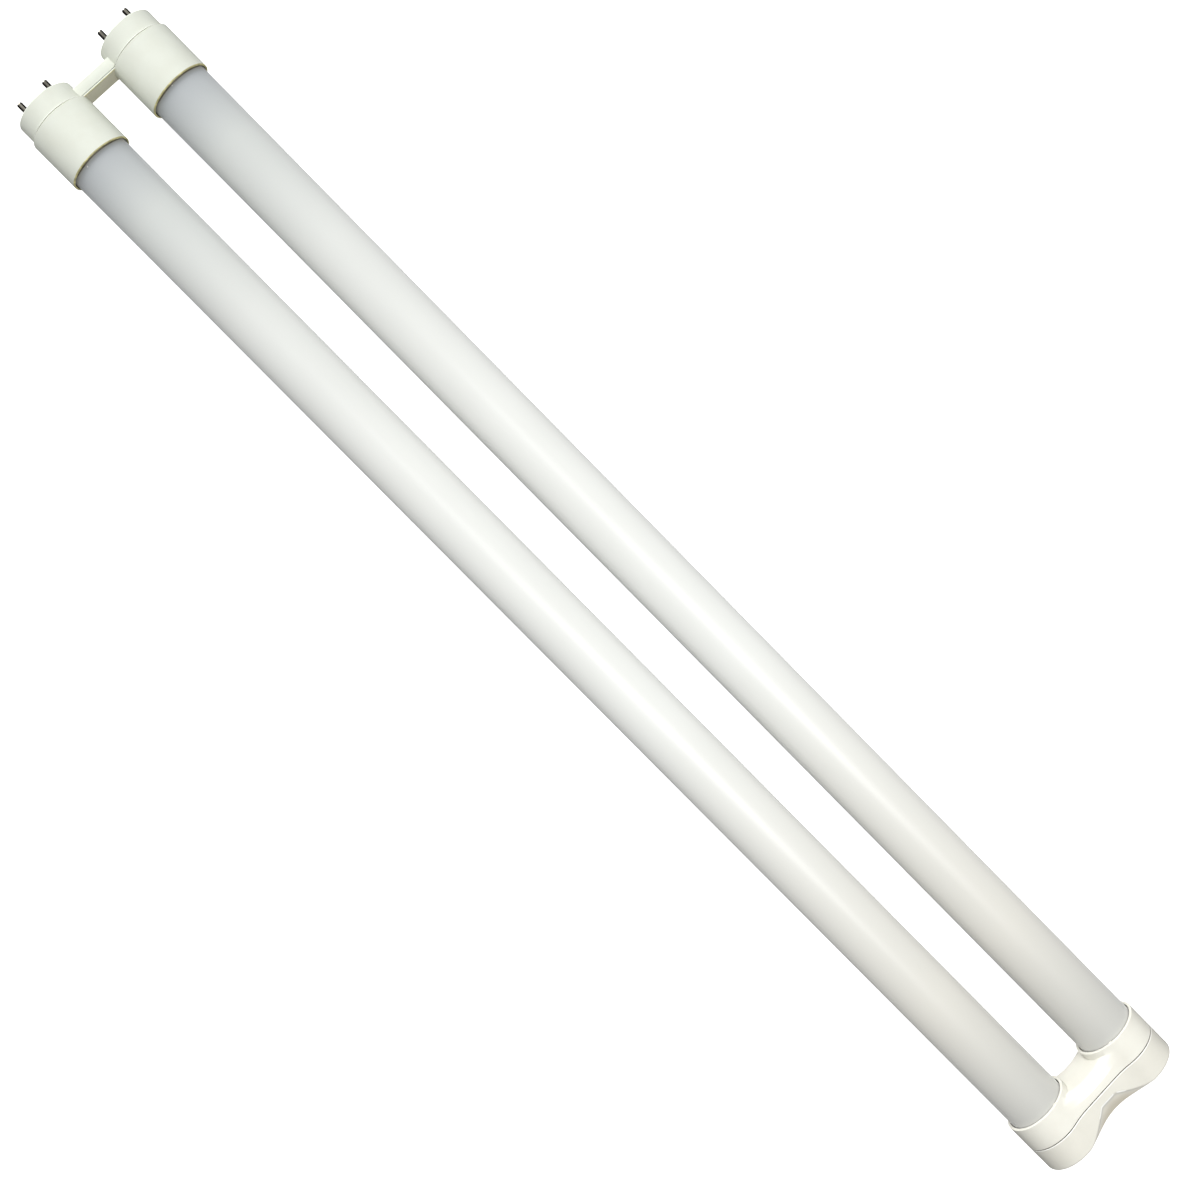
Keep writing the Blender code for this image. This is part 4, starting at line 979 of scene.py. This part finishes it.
class BendShape:
    """The outline of the return bend: two lobes joined by a waist with filleted shoulders."""

    LOBE, SHOULDER, WAIST = 70, 44, 44  # facets
    INSIDE_LOBE = 0.6 * MM  # how deep the web's sides lie in the sleeves' walls
    UNDER_LOBE = 0.015 * MM  # how far under the sleeve's skin they come up to the waist

    def __init__(self, settings):
        self.settings = settings
        self.waist = BEND_RADIUS - settings.waist_drop

    def upper(self, inset=0.0, fall=0.0, lobes=True):
        """Points (y, height) of the upper side from +Y to -Y. Without lobes it starts inside their walls."""
        lobe = BEND_RADIUS - inset
        waist = self.waist - inset - fall
        fillet = self.settings.shoulder + inset
        reach = math.sqrt((lobe + fillet) ** 2 - (waist + fillet) ** 2)
        centre = (LEG_OFFSET - reach, waist + fillet)
        meeting = math.atan2(centre[1], centre[0] - LEG_OFFSET)
        if lobes:
            half = arc((LEG_OFFSET, 0), lobe, 0, meeting, self.LOBE)
        else:
            half = arc((LEG_OFFSET, 0), lobe - self.INSIDE_LOBE, math.pi, meeting - 0.10, 24)
            half += arc((LEG_OFFSET, 0), lobe - self.UNDER_LOBE, meeting - 0.05, meeting, 3)
        half += arc(centre, fillet, meeting - math.pi, -math.pi / 2, self.SHOULDER)[1:]
        last = half[-1][0]
        half += [(last * (1 - i / self.WAIST), waist) for i in range(1, self.WAIST)]
        return half + [(0.0, waist)] + [(-y, up) for y, up in reversed(half)]

    def scoop(self, x, y, width):
        """The height of the scoop's own surface, before it meets the cover's outside."""
        s = self.settings
        start = COVER_END - s.scoop_length
        depth = self.waist - s.scoop_floor
        floor = self.waist - depth * (x - start) / s.scoop_length
        slope = Vector((s.scoop_length, s.scoop_back - s.scoop_front, -depth))
        normal = slope.cross(Vector((s.scoop_run, s.scoop_spread, 0)))
        flank = self.waist - (normal.x * (x - start) + normal.y * (abs(y) - s.scoop_front)) / normal.z
        return blended_max(floor, flank, width)

    def scooped(self, x, y, up, inset=0.0):
        """The height left under the scoop at a place on the cover."""
        s = self.settings
        reached = min(max((x - COVER_END + s.scoop_length) / (0.4 * s.scoop_length), 0.02), 1.0)
        return blended_min(up, self.scoop(x, y, s.scoop_round * reached) - inset, s.crease_round)

    def polished(self, x, y, up):
        """1 on the painted highlight, a bright line along the scoop's front crease and a little way down its
        flanks, else 0.
        """
        s = self.settings
        run = x - (COVER_END - s.scoop_length)
        if run > s.highlight_run or 0.80 < y / s.scoop_front < 1.15:
            return 0.0
        line_width, line_shift = 0.20 * MM, 0.06 * MM
        apart = (self.scoop(x, y, 0.01 * MM) - up - line_shift) / line_width
        return math.exp(-apart * apart)


def blended_min(a, b, width):
    lean = max(width - abs(a - b), 0.0) / width
    return min(a, b) - lean * lean * width / 4


def blended_max(a, b, width):
    return -blended_min(-a, -b, width)


def ring_of(shape, places):
    """Vertices of a closed ring: an upper side from +Y to -Y, then its mirror image below."""
    upper = [shape.verts.new((x, y, AXIS_Z + up)) for x, y, up in places]
    lower = [shape.verts.new((x, y, AXIS_Z - up)) for x, y, up in places]
    return upper, lower


def join_rings(shape, first, second):
    for a, b in zip(first, second):
        for i in range(len(a) - 1):
            shape.faces.new((a[i], a[i + 1], b[i + 1], b[i]))


def close_ring(shape, ring):
    upper, lower = ring
    for i in range(len(upper) - 1):
        shape.faces.new((upper[i], upper[i + 1], lower[i + 1], lower[i]))


class TUBELAMP_OT_bend_cover(bpy.types.Operator):
    """Make the closing half of the return bend, with its scooped waist"""

    bl_idname = "tube_lamp.bend_cover"
    bl_label = "Bend Cover"
    bl_options = {"REGISTER", "UNDO"}

    def execute(self, context):
        lamp = context.scene.tube_lamp
        settings = lamp.bend
        bend = BendShape(settings)
        finish = moulded_plastic("moulded_cover_plastic", settings.cover, [c * 0.93 for c in settings.cover],
                                 settings.roughness, painted_highlight="painted_highlight", hollow="hollow")
        shade = resin("seam_shade", tuple(settings.seam_shade), 0.8)
        shape = bmesh.new()
        painted_highlight = shape.verts.layers.float.new("painted_highlight")
        hollow = shape.verts.layers.float.new("hollow")

        def ring(x, inset):
            upper, lower = ring_of(shape, [
                (x, y, max(bend.scooped(x, y, up, inset), 0.0) if up > 0 else 0.0)
                for y, up in bend.upper(inset)])
            for (y, up), above, below in zip(bend.upper(inset), upper, lower):
                # Painted highlight just past the seam and along the scoop's creases.
                seam_highlight = 1.0 if 0.1 * MM < x - COVER_START < 0.4 * MM else 0.0
                above[painted_highlight] = below[painted_highlight] = max(bend.polished(x, y, up), seam_highlight) if inset < 1e-6 else 0.0
                # Painted light and shade by depth in the scoop.
                depth = (up - bend.scooped(x, y, up)) / settings.recess_shade_depth
                above[hollow] = below[hollow] = depth if inset < 0.4 * settings.end_round else 0.0
            return upper, lower

        stations = []
        seam, edge = settings.seam_round, settings.end_round
        stations += [(COVER_START, seam + 0.15 * MM)]
        stations += [(COVER_START + seam * (1 - math.cos(a)), seam * (1 - math.sin(a)))
                     for a in (math.pi / 8 * i for i in range(5))]
        stations += [(COVER_START + seam * 1.4, 0.0)]
        first, last = COVER_START + seam * 2, COVER_END - edge * 1.15
        rows = 58
        stations += [(first + (last - first) * i / rows, 0.0) for i in range(rows + 1)]
        stations += [(COVER_END - edge * (1 - math.sin(a)), edge * (1 - math.cos(a)))
                     for a in (math.pi / 16 * i for i in range(9))]
        stations += [(COVER_END, edge + 0.12 * MM)]
        outer = [ring(x, inset) for x, inset in stations]
        wall = settings.wall
        inner_rows = 12
        inner_end = COVER_END - wall
        inner = [ring(COVER_START + (inner_end - COVER_START) * i / inner_rows, wall)
                 for i in range(inner_rows + 1)]
        for rings in (outer, inner):
            for a, b in zip(rings, rings[1:]):
                join_rings(shape, a, b)
            close_ring(shape, rings[-1])
        join_rings(shape, outer[0], inner[0])
        # Painted shade on the seam's face.
        for face in shape.faces:
            face.material_index = 1 if face.calc_center_median().x < COVER_START + 0.02 * MM else 0
        cover = mesh_object("moulded_bend_cover", shape, [finish, shade])
        finished(cover, ["bend_cover"])
        return {"FINISHED"}


class TUBELAMP_OT_bend_collar(bpy.types.Operator):
    """Make the half of the return bend that takes the tubes: two sleeves joined by a hollow-fronted web"""

    bl_idname = "tube_lamp.bend_collar"
    bl_label = "Bend Collar"
    bl_options = {"REGISTER", "UNDO"}

    def execute(self, context):
        lamp = context.scene.tube_lamp
        settings = lamp.bend
        finish = moulded_plastic("moulded_bend_plastic", settings.plastic, settings.plastic_shade,
                                 settings.roughness)
        shade = resin("bend_seam_shade", tuple(settings.seam_shade), 0.8)
        bore = TUBE_RADIUS + GAP
        throat = TUBE_RADIUS - 0.8 * MM
        ledge = GASKET_END + GAP
        sleeves = []

        def shaded(side, centre):
            """Painted shade: the seam's face and the sleeve's bore are dark."""
            radius = math.hypot(centre.y - LEG_Y[side], centre.z - AXIS_Z)
            return 1 if centre.x > BEND_SEAM - 0.02 * MM or radius < bore + 0.10 * MM else 0

        for side in SIDES:
            corners = [
                (BEND_RADIUS, BEND_SEAM, settings.seam_round),
                (BEND_RADIUS, BEND_START, settings.rim_round),
                (bore, BEND_START, 0.18 * MM),
                (bore, ledge, 0),
                (throat, ledge, 0.15 * MM),
                (throat, BEND_SEAM, 0.15 * MM),
            ]
            sleeves.append(turned("moulded_bend_collar_" + side, corners, LEG_Y[side], [finish, shade],
                                  settings.steps, material_at=functools.partial(shaded, side)))
        web = self.web(settings, [finish, shade])
        collar = boolean(web, sleeves, "UNION")
        collar.name = "moulded_bend_collar"
        finished(collar, ["bend_collar"])
        return {"FINISHED"}

    def web(self, settings, finishes):
        """The block between the sleeves. Its sides lie inside the sleeves' walls."""
        bend = BendShape(settings)
        shape = bmesh.new()
        front = BEND_START + settings.web_setback
        hollow = settings.web_hollow
        edge = settings.web_front_round
        seam = settings.seam_round

        def ring(share_back, push, inset):
            """A ring at a share of the way from the web's front to the seam, pushed back a little."""
            fall = settings.web_fall * (1 - share_back) ** 2
            places = []
            for (y, _), (_, up) in zip(bend.upper(0.0, fall, lobes=False),
                                       bend.upper(inset, fall, lobes=False)):
                front_x = front - hollow + math.sqrt(hollow ** 2 - y ** 2)
                x = front_x + (BEND_SEAM - front_x) * share_back + push
                places.append((x, y, max(up, 0.0)))
            return ring_of(shape, places)

        rings = [ring(0.0, 0.0, edge + 0.15 * MM)]
        rings += [ring(0.0, edge * (1 - math.cos(a)), edge * (1 - math.sin(a)))
                  for a in (math.pi / 16 * i for i in range(9))]
        rows = 26
        begin = edge * 1.15 / (BEND_SEAM - front)
        finish_at = 1 - seam * 1.3 / (BEND_SEAM - front)
        rings += [ring(begin + (finish_at - begin) * i / rows, 0.0, 0.0) for i in range(rows + 1)]
        rings += [ring(1.0, -seam * (1 - math.sin(a)), seam * (1 - math.cos(a)))
                  for a in (math.pi / 8 * i for i in range(5))]
        for a, b in zip(rings, rings[1:]):
            join_rings(shape, a, b)
        close_ring(shape, rings[0])
        close_ring(shape, rings[-1])
        # Painted shade on the seam's face.
        for face in shape.faces:
            face.material_index = 1 if face.calc_center_median().x > BEND_SEAM - 0.02 * MM else 0
        return mesh_object("moulded_bend_web", shape, finishes)


class TUBELAMP_OT_gaskets(bpy.types.Operator):
    """Make the foam gaskets between the tubes' ends and the bend"""

    bl_idname = "tube_lamp.gaskets"
    bl_label = "Gaskets"
    bl_options = {"REGISTER", "UNDO"}

    def execute(self, context):
        lamp = context.scene.tube_lamp
        finish = foam("gasket_foam", (0.60, 0.60, 0.58))
        bore = TUBE_RADIUS - lamp.tubes.wall
        for side in SIDES:
            corners = [
                (TUBE_RADIUS, GASKET_END, 0.15 * MM),
                (TUBE_RADIUS, GASKET_START, 0.15 * MM),
                (bore, GASKET_START, 0.15 * MM),
                (bore, GASKET_END, 0.15 * MM),
            ]
            gasket = turned("foam_gasket_" + side, corners, LEG_Y[side], [finish], 96)
            finished(gasket, ["bend_gasket_" + side])
        return {"FINISHED"}


class TUBELAMP_OT_led_boards(bpy.types.Operator):
    """Make the LED boards, with their rows of LED packages"""

    bl_idname = "tube_lamp.led_boards"
    bl_label = "LED Boards"
    bl_options = {"REGISTER", "UNDO"}

    def execute(self, context):
        lamp = context.scene.tube_lamp
        settings = lamp.boards
        mask = solder_mask(settings)
        body = resin("led_package_body", (0.80, 0.80, 0.77), 0.45)
        window = resin("led_phosphor", tuple(settings.phosphor), 0.35, 0.05 * MM)
        tree = led_row_tree()
        count = int((BOARD_END - BOARD_START) / settings.pitch)
        first = (BOARD_START + BOARD_END - (count - 1) * settings.pitch) / 2
        board_top = BOARD_BOTTOM + settings.thickness
        for side in SIDES:
            inputs = {
                "Board Size": (BOARD_END - BOARD_START, 2 * BOARD_HALF_WIDTH, settings.thickness),
                "Board Centre": ((BOARD_START + BOARD_END) / 2, LEG_Y[side],
                                 BOARD_BOTTOM + settings.thickness / 2),
                "Count": count,
                "Pitch": settings.pitch,
                "First": (first, LEG_Y[side], board_top),
                "Package Size": (settings.led_length, settings.led_width, BOARD_LED_TOP - board_top),
                "Window Radius": settings.lens_radius,
                "Mask": mask,
                "Body": body,
                "Window": window,
            }
            board = grown("populated_led_board_" + side, tree, inputs)
            finished(board, ["led_board_" + side])
        return {"FINISHED"}


class TUBELAMP_OT_inner_finishes(bpy.types.Operator):
    """Give the carriers, the driver and the wires their finishes"""

    bl_idname = "tube_lamp.inner_finishes"
    bl_label = "Inner Finishes"
    bl_options = {"REGISTER", "UNDO"}

    def execute(self, context):
        lamp = context.scene.tube_lamp
        white = resin("wire_white_pvc", (0.78, 0.78, 0.74), 0.42, 0.3 * MM)
        black = resin("wire_black_pvc", (0.020, 0.020, 0.021), 0.42, 0.3 * MM)
        red = resin("wire_red_pvc", (0.52, 0.035, 0.03), 0.42, 0.3 * MM)
        finishes = {
            "board_carrier_left": drawn_metal("carrier_aluminium", (0.76, 0.77, 0.79)),
            "driver_board": laminate("driver_laminate", (0.045, 0.21, 0.09)),
            "driver_sleeve": resin("heat_shrink_sleeve", (0.10, 0.10, 0.115), 0.33),
            "driver_rectifier": resin("rectifier_resin", (0.022, 0.022, 0.023), 0.5),
            "driver_transformer": wound_tape("transformer_tape", (0.74, 0.56, 0.07)),
            "driver_fuse": resin("fuse_ceramic", (0.74, 0.68, 0.56), 0.6),
            "driver_capacitor": resin("capacitor_sleeve", (0.03, 0.03, 0.06), 0.36),
            "driver_choke": resin("choke_ferrite", (0.07, 0.062, 0.06), 0.62),
            "output_lead_positive": red,
            "link_wire_positive": red,
            "output_lead_negative": black,
            "link_wire_negative": black,
            "pin_lead_right_inner": black,
            "pin_lead_right_outer": black,
            "pin_lead_left_inner": white,
            "pin_lead_left_outer": white,
        }
        finishes["board_carrier_right"] = finishes["board_carrier_left"]
        for node, finish in finishes.items():
            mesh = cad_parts[node].data
            mesh.materials.clear()
            mesh.materials.append(finish)
        return {"FINISHED"}


class TUBELAMP_OT_stage(bpy.types.Operator):
    """Set up the pale floor, the softboxes, the room light and the camera"""

    bl_idname = "tube_lamp.stage"
    bl_label = "Stage"
    bl_options = {"REGISTER", "UNDO"}

    def execute(self, context):
        lamp = context.scene.tube_lamp
        settings = lamp.stage
        scene = bpy.context.scene
        scene.view_settings.view_transform = "Standard"
        self.floor(settings)
        self.softbox("key_softbox", settings.key_place, (0.20, 0.20), settings.key)
        self.softbox("top_softbox", settings.top_place, (0.50, 0.10), settings.top)
        self.low_softbox(settings)
        self.room(settings, scene)
        self.camera(settings)
        return {"FINISHED"}

    def floor(self, settings):
        """A round floor that sweeps up into a wall all round. It is only seen: it throws back no light."""
        level = CAD_BOX[0].z
        flat, sweep, wall = settings.floor_radius, 0.4 * settings.floor_radius, settings.floor_radius
        profile = [(flat * i / 4, 0.0) for i in range(1, 5)]
        profile += [(flat + sweep * math.sin(a), sweep * (1 - math.cos(a)))
                    for a in (math.pi / 24 * i for i in range(1, 13))]
        profile += [(flat + sweep, sweep + wall)]
        steps = 96
        shape = bmesh.new()
        centre = shape.verts.new((0, 0, level))
        rings = [[shape.verts.new((radius * math.cos(math.tau * i / steps),
                                   radius * math.sin(math.tau * i / steps), level + height))
                  for i in range(steps)] for radius, height in profile]
        for i in range(steps):
            after = (i + 1) % steps
            shape.faces.new((centre, rings[0][i], rings[0][after]))
            for inner, outer in zip(rings, rings[1:]):
                shape.faces.new((inner[i], outer[i], outer[after], inner[after]))
        floor = mesh_object("studio_floor", shape, [pale_floor(settings)], outward=False)
        floor.visible_diffuse = False
        floor.visible_glossy = False
        floor.visible_shadow = False

    def room(self, settings, scene):
        """Even room light, with a soft lobe of extra light from some sides."""
        world = bpy.data.worlds.new("room_light")
        world.use_nodes = True
        scene.world = world
        tree = world.node_tree
        direction = tree.nodes.new("ShaderNodeTexCoord").outputs["Generated"]
        split = tree.nodes.new("ShaderNodeSeparateXYZ")
        tree.links.new(direction, split.inputs["Vector"])
        total = None
        for axis, facing, strength in (("X", -1.0, settings.room_pins), ("X", 1.0, settings.room_bend),
                                       ("Y", 1.0, settings.room_left)):
            lobe = tree.nodes.new("ShaderNodeMapRange")
            tree.links.new(split.outputs[axis], lobe.inputs["Value"])
            lobe.inputs["From Max"].default_value = facing
            lobe.inputs["To Min"].default_value = 0.0 if total else settings.room
            lobe.inputs["To Max"].default_value = strength
            if total:
                both = tree.nodes.new("ShaderNodeMath")
                tree.links.new(total, both.inputs[0])
                tree.links.new(lobe.outputs["Result"], both.inputs[1])
                total = both.outputs["Value"]
            else:
                total = lobe.outputs["Result"]
        background = tree.nodes["Background"]
        background.inputs["Color"].default_value = (1.0, 1.0, 1.0, 1.0)
        tree.links.new(total, background.inputs["Strength"])

    def softbox(self, name, place, size, power):
        """A rectangular softbox that faces the middle of the lamp."""
        lamp = bpy.data.lights.new(name, "AREA")
        lamp.shape = "RECTANGLE"
        lamp.size, lamp.size_y = size
        lamp.energy = power
        obj = bpy.data.objects.new(name, lamp)
        bpy.context.scene.collection.objects.link(obj)
        away = (Vector(place) - Vector((0, 0, AXIS_Z))).normalized()
        side = Vector((1, 0, 0))
        side = (side - away * side.dot(away)).normalized()
        obj.matrix_world = axes_matrix(side, away.cross(side), away, place)

    def low_softbox(self, settings):
        """A softbox far past the pins, low down, that rakes along the lamp."""
        lamp = bpy.data.lights.new("low_softbox", "SUN")
        lamp.energy = settings.low
        lamp.angle = settings.low_width
        obj = bpy.data.objects.new("low_softbox", lamp)
        bpy.context.scene.collection.objects.link(obj)
        away = Vector(settings.low_place).normalized()
        side = away.cross(Vector((0, 0, 1))).normalized()
        obj.matrix_world = axes_matrix(side, away.cross(side), away, away)

    def camera(self, settings):
        data = bpy.data.cameras.new("camera")
        data.lens = settings.lens
        data.sensor_width = 36.0
        data.clip_start = 0.01
        camera = bpy.data.objects.new("camera", data)
        bpy.context.scene.collection.objects.link(camera)
        back = -Vector(settings.camera_view).normalized()
        up = Vector(settings.camera_up)
        up = (up - back * up.dot(back)).normalized()
        camera.matrix_world = axes_matrix(up.cross(back), up, back, settings.camera_place)
        bpy.context.scene.camera = camera


def axes_matrix(x_axis, y_axis, z_axis, place):
    matrix = Matrix((x_axis, y_axis, z_axis)).transposed().to_4x4()
    matrix.translation = Vector(place)
    return matrix


# ---------------------------------------------------------------- geometry nodes


class Grower:
    """A geometry node tree under construction."""

    def __init__(self, name, sockets):
        self.tree = bpy.data.node_groups.new(name, "GeometryNodeTree")
        self.tree.interface.new_socket("Geometry", in_out="OUTPUT", socket_type="NodeSocketGeometry")
        for label, kind in sockets:
            self.tree.interface.new_socket(label, in_out="INPUT", socket_type="NodeSocket" + kind)
        self.inputs = self.tree.nodes.new("NodeGroupInput").outputs
        self.result = self.tree.nodes.new("NodeGroupOutput").inputs["Geometry"]

    def node(self, kind, inputs=(), **settings):
        made = self.tree.nodes.new(kind)
        for name, value in settings.items():
            setattr(made, name, value)
        for socket, value in dict(inputs).items():
            self.feed(made.inputs[socket], value)
        return made

    def feed(self, socket, value):
        if hasattr(value, "is_output"):
            self.tree.links.new(value, socket)
        else:
            socket.default_value = value

    def math(self, operation, first, second=0.0):
        return self.node("ShaderNodeMath", {0: first, 1: second}, operation=operation).outputs[0]

    def vector(self, x=0.0, y=0.0, z=0.0):
        return self.node("ShaderNodeCombineXYZ", {"X": x, "Y": y, "Z": z}).outputs[0]

    def painted(self, geometry, finish):
        """Realised, with its material set."""
        real = self.node("GeometryNodeRealizeInstances", {"Geometry": geometry}).outputs[0]
        return self.node("GeometryNodeSetMaterial", {"Geometry": real, "Material": finish}).outputs[0]

    def moved(self, geometry, offset, rotation=(0.0, 0.0, 0.0)):
        return self.node("GeometryNodeTransform",
                         {"Geometry": geometry, "Translation": offset, "Rotation": rotation}).outputs[0]

    def joined(self, geometries):
        join = self.node("GeometryNodeJoinGeometry")
        for geometry in geometries:
            self.tree.links.new(geometry, join.inputs[0])
        return join.outputs[0]


def grown(name, tree, inputs):
    """Evaluates a tree with the given inputs and leaves a plain mesh."""
    obj = bpy.data.objects.new(name, bpy.data.meshes.new(name + "_seed"))
    bpy.context.scene.collection.objects.link(obj)
    modifier = obj.modifiers.new("grow", "NODES")
    modifier.node_group = tree
    for item in tree.interface.items_tree:
        if item.in_out == "INPUT":
            modifier[item.identifier] = inputs[item.name]
    made = evaluated_mesh(obj)
    obj.modifiers.clear()
    obj.data = made
    made.name = name
    smooth(obj)
    return obj


def bead_tree():
    """A bead with a rounded, rippled front edge round a tube, and one speck of glue beside it."""
    grower = Grower("adhesive_bead", [
        ("Tube Radius", "Float"), ("Bead Height", "Float"), ("Reach", "Float"), ("Recess", "Float"),
        ("Ripple", "Float"), ("Mouth", "Float"), ("Inside", "Float"), ("Axis", "Vector"), ("Seed", "Int"),
        ("Bead Finish", "Material"), ("Speck Finish", "Material"), ("Speck Angle", "Float"),
        ("Speck Run", "Float"), ("Speck Radius", "Float"),
    ])
    given = grower.inputs
    around, across = 180, 15
    grid = grower.node("GeometryNodeMeshGrid", {
        "Size X": 1.0, "Size Y": 1.0, "Vertices X": around + 1, "Vertices Y": across}).outputs[0]
    position = grower.node("GeometryNodeInputPosition").outputs[0]
    split = grower.node("ShaderNodeSeparateXYZ", {0: position})
    turn = grower.math("MULTIPLY", grower.math("ADD", split.outputs[0], 0.5), math.tau)
    run = grower.math("ADD", split.outputs[1], 0.5)
    circle = grower.vector(grower.math("COSINE", turn), grower.math("SINE", turn))
    noise = grower.node("ShaderNodeTexNoise", {
        "Vector": circle, "W": grower.math("MULTIPLY", given["Seed"], 3.7), "Scale": 2.6, "Detail": 3.0},
        noise_dimensions="4D").outputs[0]
    wobble = grower.math("MULTIPLY", grower.math("SUBTRACT", noise, 0.5), grower.math(
        "MULTIPLY", given["Ripple"], 4.0))
    # The profile goes out along the top of the bead to its front edge and back along the tube
    out = grower.math("PINGPONG", grower.math("MULTIPLY", run, 2.0), 1.0)
    top = grower.math("LESS_THAN", run, 0.5)
    sideways = grower.math("POWER", grower.math("ABSOLUTE", grower.math("SINE", turn)), 8.0)
    front = grower.math("SUBTRACT", grower.math("MULTIPLY", given["Reach"], grower.math("ADD", wobble, 1.0)),
                        grower.math("MULTIPLY", given["Recess"], sideways))
    back = grower.math("MULTIPLY", given["Inside"], -1.0)
    x = grower.math("ADD", back, grower.math("MULTIPLY", out, grower.math("SUBTRACT", front, back)))
    rounding = 0.6 * MM
    fade = grower.math("SQRT", grower.math("MAXIMUM", 0.0, grower.math(
        "DIVIDE", grower.math("SUBTRACT", front, x), rounding)))
    height = grower.math("MULTIPLY", grower.math("MINIMUM", fade, 1.0), given["Bead Height"])
    radius = grower.math("ADD", given["Tube Radius"], grower.math("MULTIPLY", top, height))
    place = grower.vector(
        grower.math("ADD", x, given["Mouth"]),
        grower.math("MULTIPLY", radius, grower.math("SINE", turn)),
        grower.math("MULTIPLY", radius, grower.math("COSINE", turn)))
    shaped = grower.node("GeometryNodeSetPosition", {"Geometry": grid, "Position": place}).outputs[0]
    welded = grower.node("GeometryNodeMergeByDistance", {
        "Geometry": shaped, "Distance": 0.002 * MM}).outputs[0]
    ball = grower.node("GeometryNodeMeshIcoSphere", {
        "Radius": given["Speck Radius"], "Subdivisions": 3}).outputs[0]
    speck = grower.moved(ball, grower.vector(
        grower.math("ADD", given["Mouth"], given["Speck Run"]),
        grower.math("MULTIPLY", given["Tube Radius"], grower.math("SINE", given["Speck Angle"])),
        grower.math("MULTIPLY", given["Tube Radius"], grower.math("COSINE", given["Speck Angle"]))))
    whole = grower.joined([
        grower.painted(grower.moved(welded, given["Axis"]), given["Bead Finish"]),
        grower.painted(grower.moved(speck, given["Axis"]), given["Speck Finish"]),
    ])
    grower.feed(grower.result, whole)
    return grower.tree


def led_row_tree():
    """A board with a row of LED packages, each with a round phosphor window."""
    grower = Grower("led_row", [
        ("Board Size", "Vector"), ("Board Centre", "Vector"), ("Count", "Int"), ("Pitch", "Float"),
        ("First", "Vector"), ("Package Size", "Vector"), ("Window Radius", "Float"),
        ("Mask", "Material"), ("Body", "Material"), ("Window", "Material"),
    ])
    given = grower.inputs
    board = grower.node("GeometryNodeMeshCube", {"Size": given["Board Size"]}).outputs[0]
    size = grower.node("ShaderNodeSeparateXYZ", {0: given["Package Size"]})
    half_height = grower.math("MULTIPLY", size.outputs[2], 0.5)
    package = grower.moved(grower.node("GeometryNodeMeshCube", {"Size": given["Package Size"]}).outputs[0],
                           grower.vector(0.0, 0.0, half_height))
    window_depth = 0.06 * MM
    window = grower.moved(grower.node("GeometryNodeMeshCylinder", {
        "Vertices": 20, "Radius": given["Window Radius"], "Depth": window_depth}).outputs[0],
        grower.vector(0.0, 0.0, grower.math("SUBTRACT", size.outputs[2], window_depth / 2)))
    line = grower.node("GeometryNodeMeshLine", {
        "Count": given["Count"], "Start Location": given["First"],
        "Offset": grower.vector(given["Pitch"])}).outputs[0]

    def row(shape):
        return grower.node("GeometryNodeInstanceOnPoints", {"Points": line, "Instance": shape}).outputs[0]

    whole = grower.joined([
        grower.painted(grower.moved(board, given["Board Centre"]), given["Mask"]),
        grower.painted(row(package), given["Body"]),
        grower.painted(row(window), given["Window"]),
    ])
    grower.feed(grower.result, whole)
    return grower.tree


# ---------------------------------------------------------------- add-on

OPERATORS = (
    TUBELAMP_OT_stage,
    TUBELAMP_OT_tubes,
    TUBELAMP_OT_pin_caps,
    TUBELAMP_OT_collars,
    TUBELAMP_OT_pins,
    TUBELAMP_OT_seals,
    TUBELAMP_OT_bridge,
    TUBELAMP_OT_bend_collar,
    TUBELAMP_OT_bend_cover,
    TUBELAMP_OT_gaskets,
    TUBELAMP_OT_led_boards,
    TUBELAMP_OT_inner_finishes,
)


class TUBELAMP_PT_panel(bpy.types.Panel):
    """Lists the operators and their settings"""

    bl_idname = "TUBELAMP_PT_panel"
    bl_label = "Tube Lamp"
    bl_space_type = "VIEW_3D"
    bl_region_type = "UI"
    bl_category = "Tube Lamp"

    def draw(self, context):
        for operator in OPERATORS:
            self.layout.operator(operator.bl_idname)
        lamp = context.scene.tube_lamp
        for name in ("tubes", "caps", "pins", "seals", "bend", "boards", "stage"):
            group = getattr(lamp, name)
            column = self.layout.box().column()
            column.label(text=name.capitalize())
            for setting in group.__annotations__:
                column.prop(group, setting)


CLASSES = (TubeSettings, CapSettings, PinSettings, SealSettings, BendSettings, BoardSettings, StageSettings,
           LampSettings, *OPERATORS, TUBELAMP_PT_panel)


def register():
    for made in CLASSES:
        bpy.utils.register_class(made)
    bpy.types.Scene.tube_lamp = PointerProperty(type=LampSettings)


def unregister():
    del bpy.types.Scene.tube_lamp
    for made in reversed(CLASSES):
        bpy.utils.unregister_class(made)


def main():
    register()
    for operator in OPERATORS:
        group, name = operator.bl_idname.split(".")
        getattr(getattr(bpy.ops, group), name)()


if __name__ == "__main__":
    main()
